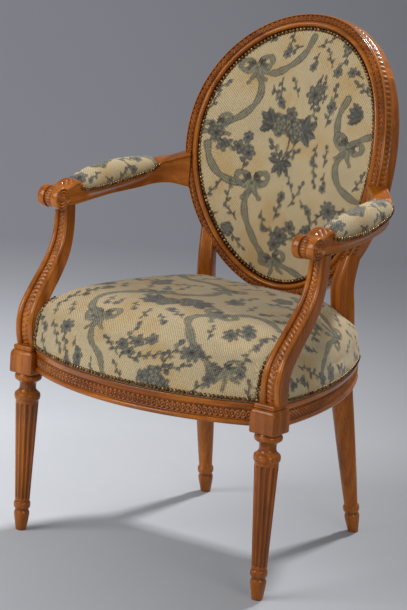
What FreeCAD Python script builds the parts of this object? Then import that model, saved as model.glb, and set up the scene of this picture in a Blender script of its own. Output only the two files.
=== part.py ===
import FreeCAD, Part
import Sketcher
import math
import os

# Upholstered armchair with an oval, dished back, in millimetres.
# +Z is up, the front faces -Y, the floor is z = 0 and the origin lies under the middle of the chair.
# The pieces are built about a plane a little in front of that, and each one's Placement moves it back.

Vector = FreeCAD.Vector

DIMENSIONS = [
    ("middle_y", 4.21, "middle of the chair's whole depth behind the middle that the depths below are from"),
    ("leg_x", 256, "front leg axis from the middle"),
    ("leg_y", -204, "front leg axis"),
    ("leg_block", 48, "side of the square block on a front leg"),
    ("block_base", 289, "underside of the front block"),
    ("block_top", 331, "top of the front block"),
    ("plate_side", 39, "side of the plate on the front block"),
    ("plate_top", 338, "top of the plate, where the arm support stands"),
    ("roll_size", 6, "bevelled top edge of the front block"),
    ("foot_radius", 9.5, "front foot on the floor"),
    ("foot_bulge", 13.9, "widest part of the front foot"),
    ("foot_height", 32, "height of the foot's widest part"),
    ("groove_radius", 12.2, "groove between foot and ring"),
    ("ring_radius", 14.7, "ring over the foot"),
    ("ring_base", 40, "underside of the ring over the foot"),
    ("ring_top", 53, "top of the ring over the foot"),
    ("shaft_bottom_radius", 13, "fluted shaft at its foot"),
    ("shaft_top_radius", 20.6, "fluted shaft at its head"),
    ("shaft_top", 240, "head of the fluted shaft"),
    ("cap_radius", 21.8, "cap over the shaft"),
    ("cap_height", 247, "widest part of the cap"),
    ("neck_radius", 14.6, "neck between cap and collar"),
    ("neck_base", 259, "foot of the neck"),
    ("neck_top", 270, "top of the neck"),
    ("collar_radius", 23.4, "collar under the block"),
    ("flute_count", 12, "flutes round a front leg"),
    ("flute_depth", 2.2, "depth of a flute"),
    ("rear_foot_x", 166, "rear foot from the middle"),
    ("rear_foot_y", 233, "rear foot"),
    ("rear_leg_x", 149, "rear leg axis at the seat"),
    ("rear_leg_y", 176, "rear leg axis at the seat"),
    ("rear_leg_top_radius", 21, "rear leg under the seat"),
    ("post_inner_x", 128, "inner face of the rear post at the seat"),
    ("post_front_y", 156, "front face of the rear post at the seat"),
    ("post_back_y", 199, "back face of the rear post at the seat"),
    ("rail_base", 295, "underside of the seat rails"),
    ("rail_top", 350, "top of the seat rails"),
    ("rebate_base", 334, "lower edge of the fabric on the rails"),
    ("rebate_depth", 3.5, "rebate for the fabric"),
    ("rail_thickness", 26, "thickness of the seat rails"),
    ("front_rail_end_y", -216, "outer face of the front rail at the block"),
    ("front_bow", 66, "how far the front rail bows out"),
    ("side_rail_x", 270, "outer face of the side rail at the front block"),
    ("side_rail_end_x", 175, "outer face of the side rail at the back"),
    ("side_bow", 28, "how far the side rail bows out"),
    ("tenon_thickness", 10, "thickness of the seat tenons"),
    ("tenon_base", 299, "underside of the seat tenons"),
    ("tenon_top", 317, "top of the seat tenons"),
    ("tenon_length", 20, "length of the back rail's tenons"),
    ("back_rail_front", 172, "front face of the back rail"),
    ("back_rail_back", 196, "back face of the back rail"),
    ("back_tenon_y", 184, "middle of the back rail's tenons"),
    ("back_center_y", 211, "middle of the back's nail line"),
    ("back_center_z", 670, "middle of the back's nail line"),
    ("back_half_width", 182, "half width of the back's nail line"),
    ("back_half_height", 229, "half height of the back's nail line"),
    ("back_egg", 0.084, "how much wider the back is at its top"),
    ("back_rake", 9.9, "lean of the back in degrees"),
    ("back_dish", 385, "radius of the dished back, seen from above"),
    ("frame_outer", 26, "oval frame outside the nail line"),
    ("frame_inner", 12, "oval frame inside the nail line"),
    ("frame_depth", 38, "depth of the oval frame"),
    ("back_rebate", 5, "depth of the rebate that the back's padding sits in"),
    ("crest_start", 42, "joint of crest rail and post in degrees"),
    ("lower_start", -58, "joint of lower rail and post in degrees"),
    ("support_width_foot", 38, "arm support at its foot"),
    ("support_width_head", 28, "arm support at its head"),
    ("support_foot_x", 259.5, "middle of the arm support's foot"),
    ("support_head_x", 269.5, "middle of the arm support's head"),
    ("support_foot_y", -199, "middle of the arm support's foot"),
    ("support_head_y", -107, "middle of the arm support's head"),
    ("support_top", 574, "top of the arm support"),
    ("arm_scroll_y", -144, "middle of the arm's scroll"),
    ("arm_scroll_z", 592, "middle of the arm's scroll"),
    ("arm_scroll_radius", 19.5, "radius of the arm's scroll"),
    ("arm_scroll_width", 44, "width of the arm's scroll"),
    ("arm_scroll_x", 268, "middle of the arm's scroll"),
    ("seat_crown", 457, "top of the seat cushion"),
    ("crown_y", -10, "middle of the seat cushion's crown"),
    ("side_rail_start", -178, "front end of the seat cushion's side"),
    ("rear_corner_x", 158, "where the seat's rounded rear corner ends"),
    ("rear_corner_y", 176, "where the seat's rounded rear corner starts"),
    ("back_crown", 20, "swell of the back cushion"),
    ("webbing_gap", 18, "gap between webbing straps"),
    ("cloth_thickness", 1.4, "thickness of the covers"),
    ("webbing_width", 58, "width of a webbing strap"),
    ("webbing_thickness", 1.2, "thickness of a webbing strap"),
    ("peg_diameter", 6, "pegs through the joints"),
]

doc = FreeCAD.newDocument("Fauteuil")
sheet = doc.addObject("Spreadsheet::Sheet", "Dims")
for row, (alias, value, note) in enumerate(DIMENSIONS, start=1):
    sheet.set("A%d" % row, note)
    sheet.set("B%d" % row, str(value))
    sheet.setAlias("B%d" % row, alias)
doc.recompute()

nodes = []


def dim(alias):
    return float(sheet.get(alias))


def new_body(label):
    body = doc.addObject("PartDesign::Body", label)
    body.Label = label
    return body


def origin_item(body, role):
    return next(item for item in body.Origin.OriginFeatures if item.Role == role)


def closed_sketch(body, name, role, corners):
    # Corners are (x, y) or (x, y, radius) expressions, a radius rounding the edge that leaves the corner:
    # positive bulges to the right of the direction of travel, negative to the left.
    sketch = body.newObject("Sketcher::SketchObject", name)
    sketch.AttachmentSupport = (origin_item(body, role), [""])
    sketch.MapMode = "FlatFace"
    places = [Vector(sketch.evalExpression(c[0]), sketch.evalExpression(c[1]), 0) for c in corners]
    count = len(corners)
    for i, corner in enumerate(corners):
        start, end = places[i], places[(i + 1) % count]
        if len(corner) == 3:
            radius = sketch.evalExpression(corner[2])
            sketch.addGeometry(Part.Arc(start, arc_middle(start, end, radius), end), False)
        else:
            sketch.addGeometry(Part.LineSegment(start, end), False)
    for i, corner in enumerate(corners):
        edge = sketch.Geometry[i]
        backwards = len(corner) == 3 and edge.StartPoint.distanceToPoint(places[i]) > 1e-6
        start_end = 2 if backwards else 1
        for kind, axis in (("DistanceX", 0), ("DistanceY", 1)):
            index = sketch.addConstraint(
                Sketcher.Constraint(kind, -1, 1, i, start_end, places[i][axis]))
            sketch.setExpression("Constraints[%d]" % index, corner[axis])
        last = sketch.Geometry[i - 1]
        last_end = 2 if last.EndPoint.distanceToPoint(places[i]) < 1e-6 else 1
        sketch.addConstraint(Sketcher.Constraint("Coincident", (i - 1) % count, last_end, i, start_end))
        if len(corner) == 3:
            size = abs(sketch.evalExpression(corner[2]))
            index = sketch.addConstraint(Sketcher.Constraint("Radius", i, size))
            sketch.setExpression("Constraints[%d]" % index, "abs(%s)" % corner[2])
    return sketch


def arc_middle(start, end, radius):
    chord = end - start
    half = chord.Length / 2
    rise = abs(radius) - math.sqrt(radius * radius - half * half)
    side = Vector(chord.y, -chord.x, 0).normalize()
    return (start + end) * 0.5 + side * (rise if radius > 0 else -rise)


def pad(body, sketch, name, length, base):
    # A pad up from the height base, both given as expressions.
    sketch.setExpression("AttachmentOffset.Base.z", base)
    feature = body.newObject("PartDesign::Pad", name)
    feature.Profile = sketch
    feature.setExpression("Length", length)
    return feature


def solid_feature(label, shape):
    # A sub-part, or a helper, whose shape is made by Part's own functions from the sheet's values.
    feature = doc.addObject("Part::Feature", label)
    feature.Label = label
    feature.Shape = shape
    feature.Placement = FreeCAD.Placement(Vector(0, -dim("middle_y"), 0), FreeCAD.Rotation())
    return feature


def keep(feature):
    nodes.append(feature)
    return feature


def single(shape):
    # The one solid that a boolean leaves.
    assert len(shape.Solids) == 1, "expected one solid, found %d" % len(shape.Solids)
    return shape.Solids[0]


def mirrored(shape):
    return shape.mirror(Vector(0, 0, 0), Vector(1, 0, 0))


def box(x_range, y_range, z_range):
    size = [abs(high - low) for low, high in (x_range, y_range, z_range)]
    return Part.makeBox(*size, Vector(min(x_range), min(y_range), min(z_range)))


def polygon(points):
    return Part.makePolygon(list(points) + [points[0]])


def skin(rings):
    # A solid through rings of as many points each, its sides in flat triangles, its ends flat.
    faces = [Part.Face(polygon(rings[0])), Part.Face(polygon(rings[-1]))]
    for lower, upper in zip(rings, rings[1:]):
        for i in range(len(lower)):
            a, b, c, d = lower[i - 1], lower[i], upper[i], upper[i - 1]
            if (a - c).Length <= (b - d).Length:
                faces += [Part.Face(polygon((a, b, c))), Part.Face(polygon((a, c, d)))]
            else:
                faces += [Part.Face(polygon((a, b, d))), Part.Face(polygon((b, c, d)))]
    solid = Part.makeSolid(Part.makeShell(faces))
    return (solid if solid.Volume > 0 else solid.reversed()).removeSplitter()


def placed(places, axis, degrees, offset):
    turn = FreeCAD.Rotation(axis, degrees)
    return [turn.multVec(place) + offset for place in places]


def curve(start, through, end, pieces):
    # Points along an arc, its ends included.
    return Part.Arc(start, through, end).toShape().discretize(pieces + 1)


def prism(wire, direction):
    return Part.Face(wire).extrude(direction)


# Front legs: a square block, collar, neck, cap and fluted, tapering shaft on a turned foot

def turned(profile):
    # A turned stretch in narrow flats; the profile holds heights and radii from the floor up.
    sides = 24
    turns = [2 * math.pi * i / sides for i in range(sides)]
    return skin([
        [Vector(radius * math.cos(turn), radius * math.sin(turn), height) for turn in turns]
        for height, radius in profile])


def turned_foot(base, slim=0.0):
    # The foot with its ring, up to where the shaft starts.
    foot, bulge, groove = dim("foot_radius"), dim("foot_bulge"), dim("groove_radius")
    return [
        (base, foot), (dim("foot_height") - 5, bulge), (dim("foot_height"), bulge), (dim("foot_height") + 4, groove),
        (dim("ring_base"), groove), (dim("ring_base") + 4, dim("ring_radius")),
        (dim("ring_top") - 4, dim("ring_radius")), (dim("ring_top"), dim("shaft_bottom_radius") + 0.4 - slim)]


def turned_head():
    # Cap, neck and collar, from the head of the shaft to the block.
    cap, neck, collar = dim("cap_radius"), dim("neck_radius"), dim("collar_radius")
    return [
        (dim("shaft_top"), dim("shaft_top_radius") + 0.4), (dim("cap_height") - 3, cap), (dim("cap_height") + 1, cap),
        (dim("neck_base") - 4, neck + 2), (dim("neck_base"), neck), (dim("neck_top"), neck),
        (dim("neck_top") + 4, neck + 4), (dim("neck_top") + 8, collar), (dim("block_base") - 4, collar),
        (dim("block_base"), collar - 3)]


def square_sketch(body, name, side):
    half = "%s / 2" % side
    return closed_sketch(body, name, "XY_Plane", [
        ("-" + half, "-" + half), (half, "-" + half), (half, half), ("-" + half, half)])


def fluted_ring(height, depth):
    # Points round the shaft: between narrow flats, each flute is a channel with two sides and a floor.
    share = (height - dim("ring_top")) / (dim("shaft_top") - dim("ring_top"))
    radius = dim("shaft_bottom_radius") + (dim("shaft_top_radius") - dim("shaft_bottom_radius")) * share
    count = int(dim("flute_count"))
    places = []
    for i in range(count):
        for turn, sunk in ((-0.36, 0), (-0.2, 1), (0.2, 1), (0.36, 0)):
            angle = 2 * math.pi * (i + 0.5 + turn) / count
            out = radius - depth * sunk
            places.append(Vector(out * math.cos(angle), out * math.sin(angle), height))
    return places


def fluted_shaft():
    # The flutes run out in a short slope at both ends, and are shallower towards the foot.
    low, high, deep = dim("ring_top") - 1, dim("shaft_top") + 1, dim("flute_depth")
    start, end = dim("ring_top") + 5, dim("shaft_top") - 6
    return skin([
        fluted_ring(low, 0), fluted_ring(start, 0), fluted_ring(start + 3, deep * 0.6),
        fluted_ring(end - 4, deep), fluted_ring(end, 0), fluted_ring(high, 0)])


def front_leg_blank():
    head = new_body("front_leg_head")
    block = pad(head, square_sketch(head, "block_outline", "Dims.leg_block"), "block",
                "Dims.block_top - Dims.block_base", "Dims.block_base")
    doc.recompute()
    top_edges = [
        "Edge%d" % (i + 1) for i, edge in enumerate(block.Shape.Edges)
        if all(abs(v.Z - dim("block_top")) < 1e-6 for v in edge.Vertexes)]
    roll = head.newObject("PartDesign::Chamfer", "roll")
    roll.Base = (block, top_edges)
    roll.setExpression("Size", "Dims.roll_size")
    doc.recompute()
    # The plate sits a little into the block, whose bevelled edges it covers.
    pad(head, square_sketch(head, "plate_outline", "Dims.plate_side"), "plate",
        "Dims.plate_top - Dims.block_top + 9", "Dims.block_top - 9")
    doc.recompute()
    return head.Shape.fuse([turned(turned_foot(0)), fluted_shaft(), turned(turned_head())])


# Seat frame in plan: an arc for the front, an arc for each side

def arc_through(start, end, bow, outward):
    # Centre and radius of the arc from start to end that bows out by bow.
    half = (end - start).Length / 2
    radius = (half * half + bow * bow) / (2 * bow)
    side = Vector(end.y - start.y, start.x - end.x, 0).normalize()
    if side.dot(outward) < 0:
        side = side * -1
    centre = (start + end) * 0.5 + side * (bow - radius)
    return centre, radius


def front_arc():
    end_x = dim("leg_x") - dim("leg_block") / 2
    end_y = dim("front_rail_end_y")
    return arc_through(Vector(-end_x, end_y, 0), Vector(end_x, end_y, 0), dim("front_bow"), Vector(0, -1, 0))


def side_arc():
    start = Vector(dim("side_rail_x"), dim("leg_y") + dim("leg_block") / 2, 0)
    end = Vector(dim("side_rail_end_x"), dim("post_back_y") - 6, 0)
    return arc_through(start, end, dim("side_bow"), Vector(1, 0, 0))


def rail_profile(radius):
    # The section of a rail, outside first: lower bead, flat for the carved band, fillet, rebate.
    # It stands in the XZ plane at the distance radius from the arc's vertical axis.
    base, top, rebate = dim("rail_base"), dim("rail_top"), dim("rebate_base")
    inner = radius - dim("rail_thickness")
    face = radius - 2
    seat = radius - dim("rebate_depth")
    places = [
        (face - 1, base), (radius, base + 3), (radius, base + 8), (face, base + 12), (face, rebate - 9),
        (radius, rebate - 5), (radius, rebate), (seat, rebate), (seat, top), (inner, top), (inner, base)]
    return polygon([Vector(x, 0, z) for x, z in places])


def swept_rail(centre, radius, start_angle, sweep):
    # The section turned about the vertical axis through centre.
    ring = Part.Face(rail_profile(radius))
    ring.rotate(Vector(0, 0, 0), Vector(0, 0, 1), start_angle)
    ring.translate(centre)
    return ring.revolve(centre, Vector(0, 0, 1), sweep)


def front_rail_blank():
    centre, radius = front_arc()
    reach = math.degrees(math.asin((dim("leg_x") - dim("leg_block") / 2) / radius)) + 2
    rail = swept_rail(centre, radius, -90 - reach, 2 * reach)
    end_x = dim("leg_x") - dim("leg_block") / 2
    return single(rail.common(box((-end_x, end_x), (-400, 0), (0, 500))))


def side_rail_blank():
    centre, radius = side_arc()
    rail = swept_rail(centre, radius, -40, 80)
    front = dim("leg_y") + dim("leg_block") / 2
    return single(rail.common(box((100, 400), (front, dim("post_back_y")), (0, 500))))


def seat_tenon(x_range, y_range):
    return box(x_range, y_range, (dim("tenon_base"), dim("tenon_top")))


def front_tenon():
    start = dim("leg_x") - dim("leg_block") / 2
    middle = dim("front_rail_end_y") + dim("rail_thickness") / 2
    half = dim("tenon_thickness") / 2
    return seat_tenon((start - 1, start + 18), (middle - half, middle + half))


def side_front_tenon():
    start = dim("leg_y") + dim("leg_block") / 2
    half = dim("tenon_thickness") / 2
    return seat_tenon((dim("leg_x") + 1 - half, dim("leg_x") + 1 + half), (start - 20, start + 1))


def side_back_tenon():
    start = dim("post_front_y")
    half = dim("tenon_thickness") / 2
    middle = dim("side_rail_end_x") + 2
    return seat_tenon((middle - half, middle + half), (start - 1, start + 22))


def back_tenon():
    start = dim("post_inner_x")
    half = dim("tenon_thickness") / 2
    middle = dim("back_tenon_y")
    return seat_tenon((start - 1, start + dim("tenon_length")), (middle - half, middle + half))


# The oval back

def rake():
    return math.radians(dim("back_rake"))


def dish(x):
    # How far the dished back comes forward at a distance x from the middle.
    radius = dim("back_dish")
    return (radius - math.sqrt(radius * radius - x * x)) / math.cos(rake())


def back_point(x, along, depth=0.0):
    # A point of the back's front surface, or depth behind it, square to it.
    normal = back_normal(x)
    surface = Vector(x, dim("back_center_y") + along * math.sin(rake()) - dish(x),
                     dim("back_center_z") + along * math.cos(rake()))
    return surface + normal * depth


def back_normal(x):
    radius = dim("back_dish")
    slope = x / math.sqrt(radius * radius - x * x)
    return Vector(slope, math.cos(rake()), -math.sin(rake())).normalize()


def oval(angle, grow=0.0):
    # The nail line, or a line outside it, as (x, height along the back).
    sine, cosine = math.sin(angle), math.cos(angle)
    width, height, egg = dim("back_half_width"), dim("back_half_height"), dim("back_egg")
    place = Vector(width * (1 + egg * sine) * cosine, height * sine, 0)
    if grow:
        tangent = Vector(width * (egg * cosine * cosine - (1 + egg * sine) * sine), height * cosine, 0)
        place += Vector(tangent.y, -tangent.x, 0).normalize() * grow
    return place


def frame_section(angle):
    # The oval frame's section: rebate, smooth round moulding, carved band, edge, plain side and back.
    line = oval(angle)
    beside = oval(angle, 1)
    origin = back_point(line.x, line.y)
    outward = (back_point(beside.x, beside.y) - origin).normalize()
    behind = back_normal(line.x)
    outer, inner, deep = dim("frame_outer"), dim("frame_inner"), dim("frame_depth")

    def at(u, d):
        return origin + outward * u + behind * d

    floor = dim("back_rebate")
    moulding = curve(at(3, 0.5), at(8, -4.5), at(13.5, 0), 4)
    band = curve(at(13.5, 0), at(19, -1.6), at(outer - 2, 0.5), 2)
    rest = [
        at(outer, 4), at(outer, deep - 5), at(outer - 5, deep), at(2, deep), at(2, deep - 2.5),
        at(-inner, deep - 2.5), at(-inner, floor), at(3, floor)]
    return moulding + band[1:] + rest


def frame_arc(start, end, sections):
    # A stretch of the oval frame between two angles, given in degrees.
    steps = [math.radians(start + (end - start) * i / (sections - 1)) for i in range(sections)]
    return skin([frame_section(angle) for angle in steps])


def frame_tenon(angle, forward, length=18):
    # A flat tenon in the thickness of the frame, reaching both ways from a joint.
    angle = math.radians(angle)
    line = oval(angle, (dim("frame_outer") - dim("frame_inner")) / 2)
    ahead = oval(angle + forward * 0.01, (dim("frame_outer") - dim("frame_inner")) / 2)
    origin = back_point(line.x, line.y, dim("frame_depth") / 2)
    along = (back_point(ahead.x, ahead.y, dim("frame_depth") / 2) - origin).normalize()
    behind = back_normal(line.x)
    across = along.cross(behind).normalize()
    behind = across.cross(along).normalize()
    half_width, half_thick = 10, 4.5
    corners = [
        origin - along * 2 + across * u + behind * d
        for u, d in ((-half_width, -half_thick), (half_width, -half_thick),
                     (half_width, half_thick), (-half_width, half_thick))]
    return prism(polygon(corners), along * (length + 2))


# Rear posts: splayed turned leg, squared at the seat, then a stile that becomes the oval's side

def rear_leg_turning():
    # It starts under the floor, where the splayed leg is cut level.
    profile = turned_foot(-4, 1)
    profile += [(dim("rail_base"), dim("rear_leg_top_radius")), (dim("rail_base") + 20, dim("rear_leg_top_radius"))]
    return turned(profile)


def splayed(shape):
    # The leg's own axis laid from its foot on the floor to its head at the seat, cut flat on the floor.
    foot = Vector(dim("rear_foot_x"), dim("rear_foot_y"), 0)
    head = Vector(dim("rear_leg_x"), dim("rear_leg_y"), dim("rail_base"))
    leg = shape.copy()
    leg.Placement = FreeCAD.Placement(foot, FreeCAD.Rotation(Vector(0, 0, 1), head - foot))
    return single(leg.common(box((0, 400), (0, 400), (0, dim("rail_base") + 12))))


def stile_section(centre, width, depth, turn):
    # A level rounded rectangle; turn swings its front face towards the middle of the chair.
    half_w, half_d, bevel = width / 2, depth / 2, 4
    corners = [
        (-half_w + bevel, -half_d), (half_w - bevel, -half_d), (half_w, -half_d + bevel), (half_w, half_d - bevel),
        (half_w - bevel, half_d), (-half_w + bevel, half_d), (-half_w, half_d - bevel), (-half_w, -half_d + bevel)]
    return placed([Vector(x, y, 0) for x, y in corners], Vector(0, 0, 1), -turn, centre)


def stile():
    # The last section lies inside the oval frame.
    x = dim("rear_leg_x")
    inside = back_point(x - 1, -148, dim("frame_depth") / 2)
    sections = [
        stile_section(Vector(x, dim("rear_leg_y"), dim("rail_top")), 36, 40, 6),
        stile_section(Vector(x, 169, 385), 31, 39, 14),
        stile_section(Vector(x, 165, 425), 29, 38, 20),
        stile_section(Vector(x - 1, 162.5, 470), 28, 36, 22),
        stile_section(inside, 24, 30, 22)]
    return skin(sections)


def rear_post():
    leg = splayed(rear_leg_turning())
    outer_x = dim("side_rail_end_x")
    block = box((dim("post_inner_x"), outer_x), (dim("post_front_y"), dim("post_back_y")),
                (dim("rail_base"), dim("rail_top")))
    wrap = side_rail_blank().common(box((outer_x - 12, 300), (dim("post_front_y"), 400), (0, 500)))
    side = frame_arc(dim("lower_start"), dim("crest_start"), 9)
    post = leg.fuse([block, wrap, stile(), side])
    holes = [side_back_tenon(), back_tenon(), frame_tenon(dim("crest_start"), -1),
             frame_tenon(dim("lower_start"), 1), arm_tenon()]
    return single(post.cut(holes))


# Arm supports and arms

def support_place(height):
    # Distance from the chair's middle plane, and width, of the arm support at a height.
    share = (height - dim("plate_top")) / (dim("support_top") - dim("plate_top"))
    centre = dim("support_foot_x") + (dim("support_head_x") - dim("support_foot_x")) * share
    width = dim("support_width_foot") + (dim("support_width_head") - dim("support_width_foot")) * share
    return centre, width


def support_section(height, middle_y, depth, lean):
    # Section of the S-shaped support, square to its run: a bead down each front edge, a sunk band between.
    # Lean is the run's slope in degrees.
    centre, width = support_place(height)
    half_w, half_d = width / 2, depth / 2
    bead = 0.28 * width

    def at(x, y):
        return Vector(x, y, 0)

    right_bead = [at(half_w - bead, 3 - half_d), at(half_w - bead * 0.75, -half_d), at(half_w - bead * 0.3, -half_d),
                  at(half_w, 3 - half_d)]
    left_bead = [Vector(-place.x, place.y, 0) for place in reversed(right_bead)]
    back = [at(half_w, half_d - 4), at(half_w - 5, half_d), at(5 - half_w, half_d), at(-half_w, half_d - 4)]
    return placed(left_bead + right_bead + back, Vector(1, 0, 0), -lean, Vector(centre, middle_y, height))


SUPPORT_RUN = [
    # height, middle, depth, lean
    (338, -199, 29, 0), (358, -201.5, 33, 0), (380, -201, 34, 10), (402, -194, 33, 27), (432, -171, 31, 41),
    (462, -144.5, 30, 38), (488, -126, 29, 27), (512, -115, 27, 14), (540, -109, 26, 5), (574, -107, 26, 0)]


def support_blank():
    return skin([support_section(*row) for row in SUPPORT_RUN])


def support_foot_tenon():
    x, y = dim("support_foot_x"), dim("support_foot_y")
    return box((x - 9, x + 9), (y - 6, y + 6), (dim("plate_top") - 18, dim("plate_top") + 1))


def support_head_tenon():
    x, y = dim("support_head_x"), dim("support_head_y")
    return box((x - 7, x + 7), (y - 6, y + 6), (dim("support_top") - 1, dim("support_top") + 18))


ARM_RUN = [
    # x, y, underside, top, half width below, half width above
    (268, -140, 577, 608, 16, 18), (267, -118, 576, 611, 16, 18), (266.5, -96, 575, 617, 16, 19),
    (268, -78, 576, 598, 16, 21), (269, -41, 579, 598, 16, 21.5), (268, 0, 582.5, 601, 16, 21.5),
    (263, 36, 585.5, 606, 16, 21.5), (256, 75, 589, 613, 16, 21), (248.5, 101, 593, 620, 16, 20),
    (240, 119, 595, 638, 16, 18), (226, 139, 595, 643, 16, 17), (214, 151, 592, 648, 17, 17.5),
    (200, 163, 589, 653, 18, 18)]


def arm_direction(index):
    before = ARM_RUN[max(index - 1, 0)]
    after = ARM_RUN[min(index + 1, len(ARM_RUN) - 1)]
    return Vector(after[0] - before[0], after[1] - before[1], 0).normalize()


def arm_section(run, index):
    x, y, low, high, half_low, half_high = run[index]
    along = arm_direction(index)
    across = Vector(along.y, -along.x, 0)
    middle = Vector(x, y, 0)
    lip = min(6, (high - low) / 3)
    corners = [
        (-half_low, low), (half_low, low), (half_low + 0.5, low + 4), (half_high, high - lip), (half_high, high),
        (-half_high, high), (-half_high, high - lip), (-half_low - 0.5, low + 4)]
    return [middle + across * u + Vector(0, 0, z) for u, z in corners]


def arm_tenon():
    x, y, low, high = ARM_RUN[-1][:4]
    along = arm_direction(len(ARM_RUN) - 1)
    across = Vector(along.y, -along.x, 0)
    start = Vector(x, y, 0) - along * 6
    corners = [start + across * u + Vector(0, 0, z) for u, z in ((-5, 606), (5, 606), (5, 632), (-5, 632))]
    return prism(polygon(corners), along * 24)


def arm_scroll():
    # A roll across the arm's front end, with a turned button and ring on each side.
    width, radius = dim("arm_scroll_width"), dim("arm_scroll_radius")
    centre = Vector(dim("arm_scroll_x") - width / 2, dim("arm_scroll_y"), dim("arm_scroll_z"))
    roll = Part.makeCylinder(radius, width, centre, Vector(1, 0, 0))
    for offset, depth in ((0, 1), (width, -1)):
        place = centre + Vector(offset, 0, 0)
        groove = Part.makeCylinder(radius - 5, 1.5, place, Vector(depth, 0, 0))
        groove = groove.cut(Part.makeCylinder(6, 1.5, place, Vector(depth, 0, 0)))
        roll = roll.cut(groove)
    return roll


def arm_stretch(first, last):
    return skin([arm_section(ARM_RUN, i) for i in range(first, last + 1)])


def arm_step(carved, seat):
    # The short fall from the carved wood beside the pad to the pad's seat.
    x, y, low, high, half_low, half_high = ARM_RUN[carved]
    run = list(ARM_RUN)
    run[carved] = (x, y, low, ARM_RUN[seat][3], half_low, half_high)
    return skin([arm_section(run, carved), arm_section(run, seat)])


def arm_blank():
    pieces = [arm_scroll(), arm_step(2, 3), arm_stretch(3, 8), arm_step(9, 8), arm_stretch(9, len(ARM_RUN) - 1)]
    return single(arm_stretch(0, 2).fuse(pieces))


# Pads on the arms

PAD_RUN = [
    # x, y, seat of the pad, ridge, half width
    (266.6, -92.5, 600, 617, 17), (268, -78, 598, 624, 21.5), (269, -41, 598, 634, 23), (268, 0, 601, 640, 23.5),
    (263, 36, 606, 642.5, 23.5), (256, 75, 613, 643.5, 23), (248.5, 101, 620, 642.5, 21), (242.5, 113.5, 625, 637, 17)]


def pad_section(index, inset, drop):
    x, y, low, ridge, half = PAD_RUN[index]
    before = PAD_RUN[max(index - 1, 0)]
    after = PAD_RUN[min(index + 1, len(PAD_RUN) - 1)]
    along = Vector(after[0] - before[0], after[1] - before[1], 0).normalize()
    across = Vector(along.y, -along.x, 0)
    middle = Vector(x, y, 0)
    if index in (0, len(PAD_RUN) - 1):
        middle += along * (inset if index == 0 else -inset)
    shoulder = low + (ridge - low) * 0.3
    base = low + 0.6 - drop

    def at(u, z):
        return middle + across * u + Vector(0, 0, z)

    half -= inset
    crown = curve(at(half + 1, shoulder), at(0, ridge - inset), at(-half - 1, shoulder), 6)
    return [at(-half, base), at(half, base)] + crown


def arm_pad(inset, drop=0):
    # A little above the arm; drop carries its underside further down, to cut with.
    return skin([pad_section(i, inset, drop) for i in range(len(PAD_RUN))])


# Seat cushion, its covers and what carries it

def seat_outline(inset, height, sides=1.0, rear=1.0):
    # The rails' outer line, drawn in by inset, at a height. sides draws it in towards the crown,
    # and rear does so behind the crown.
    front_centre, front_radius = front_arc()
    side_centre, side_radius = side_arc()
    reach = math.asin((dim("leg_x") - dim("leg_block") / 2) / front_radius)
    first = math.asin((dim("side_rail_start") - side_centre.y) / side_radius)
    last = math.asin((dim("rear_corner_y") - side_centre.y) / side_radius)

    def front(angle):
        reach_in = front_radius - inset
        return front_centre + Vector(reach_in * math.sin(angle), -reach_in * math.cos(angle), 0)

    def side(angle):
        reach_in = side_radius - inset
        return side_centre + Vector(reach_in * math.cos(angle), reach_in * math.sin(angle), 0)

    corner = (front(reach) + side(first)) * 0.5 + Vector(7, -7, 0)
    back = Vector(dim("rear_corner_x"), dim("post_back_y") - inset, 0)
    turn = (side(last) + back) * 0.5 + Vector(5, 5, 0)
    half = curve(front(0), front(reach / 2), front(reach), 5)
    half += curve(front(reach), corner, side(first), 2)[1:]
    half += curve(side(first), side((first + last) / 2), side(last), 6)[1:]
    half += curve(side(last), turn, back, 2)[1:]
    other = [Vector(-place.x, place.y, 0) for place in reversed(half[1:])]
    crown = dim("crown_y")
    places = []
    for place in half + other:
        share = rear if place.y > crown else sides
        places.append(Vector(place.x * sides, crown + (place.y - crown) * share, height))
    return places


SEAT_LEVELS = [
    # share of the cushion's height, how far it is drawn in, scale, scale behind the crown
    (0, 0.6, 1, 1), (0.16, 0, 1, 1), (0.32, -1, 1, 1), (0.5, 3, 1, 0.98), (0.66, 3, 0.95, 0.86), (0.8, 3, 0.86, 0.74),
    (0.91, 3, 0.7, 0.6), (0.975, 3, 0.46, 0.4), (1, 3, 0.18, 0.16)]


def seat_dome(inset):
    # Upright sides that swell a little and are drawn in over a full crown.
    base = dim("rebate_base") + 0.5
    rise = dim("seat_crown") - base - inset
    sections = [
        seat_outline(draw_in + inset, base + rise * share, sides, rear) for share, draw_in, sides, rear in SEAT_LEVELS]
    return skin(sections)


def support_room():
    # The space in the seat's front corner that the arm support and what stands before it take up.
    gap = 2.5
    sections = []
    for height, middle, depth, lean in SUPPORT_RUN[:7]:
        inner_x = support_place(height)[0] - dim("support_width_foot") / 2 - gap
        back_y = middle + depth / 2 / math.cos(math.radians(lean)) + gap
        low = height if sections else 300
        corners = [(inner_x, -300), (330, -300), (330, back_y), (inner_x, back_y)]
        sections.append([Vector(x, y, low) for x, y in corners])
    return skin(sections)


def seat_sheet(inset, base, thickness):
    return prism(polygon(seat_outline(inset, base)), Vector(0, 0, thickness))


def webbing(crosswise):
    # Straps across the seat frame, the crosswise ones lying on the lengthwise ones.
    width, thick, gap = dim("webbing_width"), dim("webbing_thickness"), dim("webbing_gap")
    level = dim("rail_top") + (thick if crosswise else 0)
    field = seat_sheet(9, level, thick)
    straps = []
    middles = range(-1, 2) if not crosswise else range(-2, 2)
    for i in middles:
        middle = i * (width + gap)
        if crosswise:
            strap = box((-300, 300), (middle - width / 2, middle + width / 2), (level, level + thick))
        else:
            strap = box((middle - width / 2, middle + width / 2), (-400, 400), (level, level + thick))
        straps.append(field.common(strap))
    return Part.makeCompound([solid for strap in straps for solid in strap.Solids])


# Soft parts and linings of the back

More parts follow.
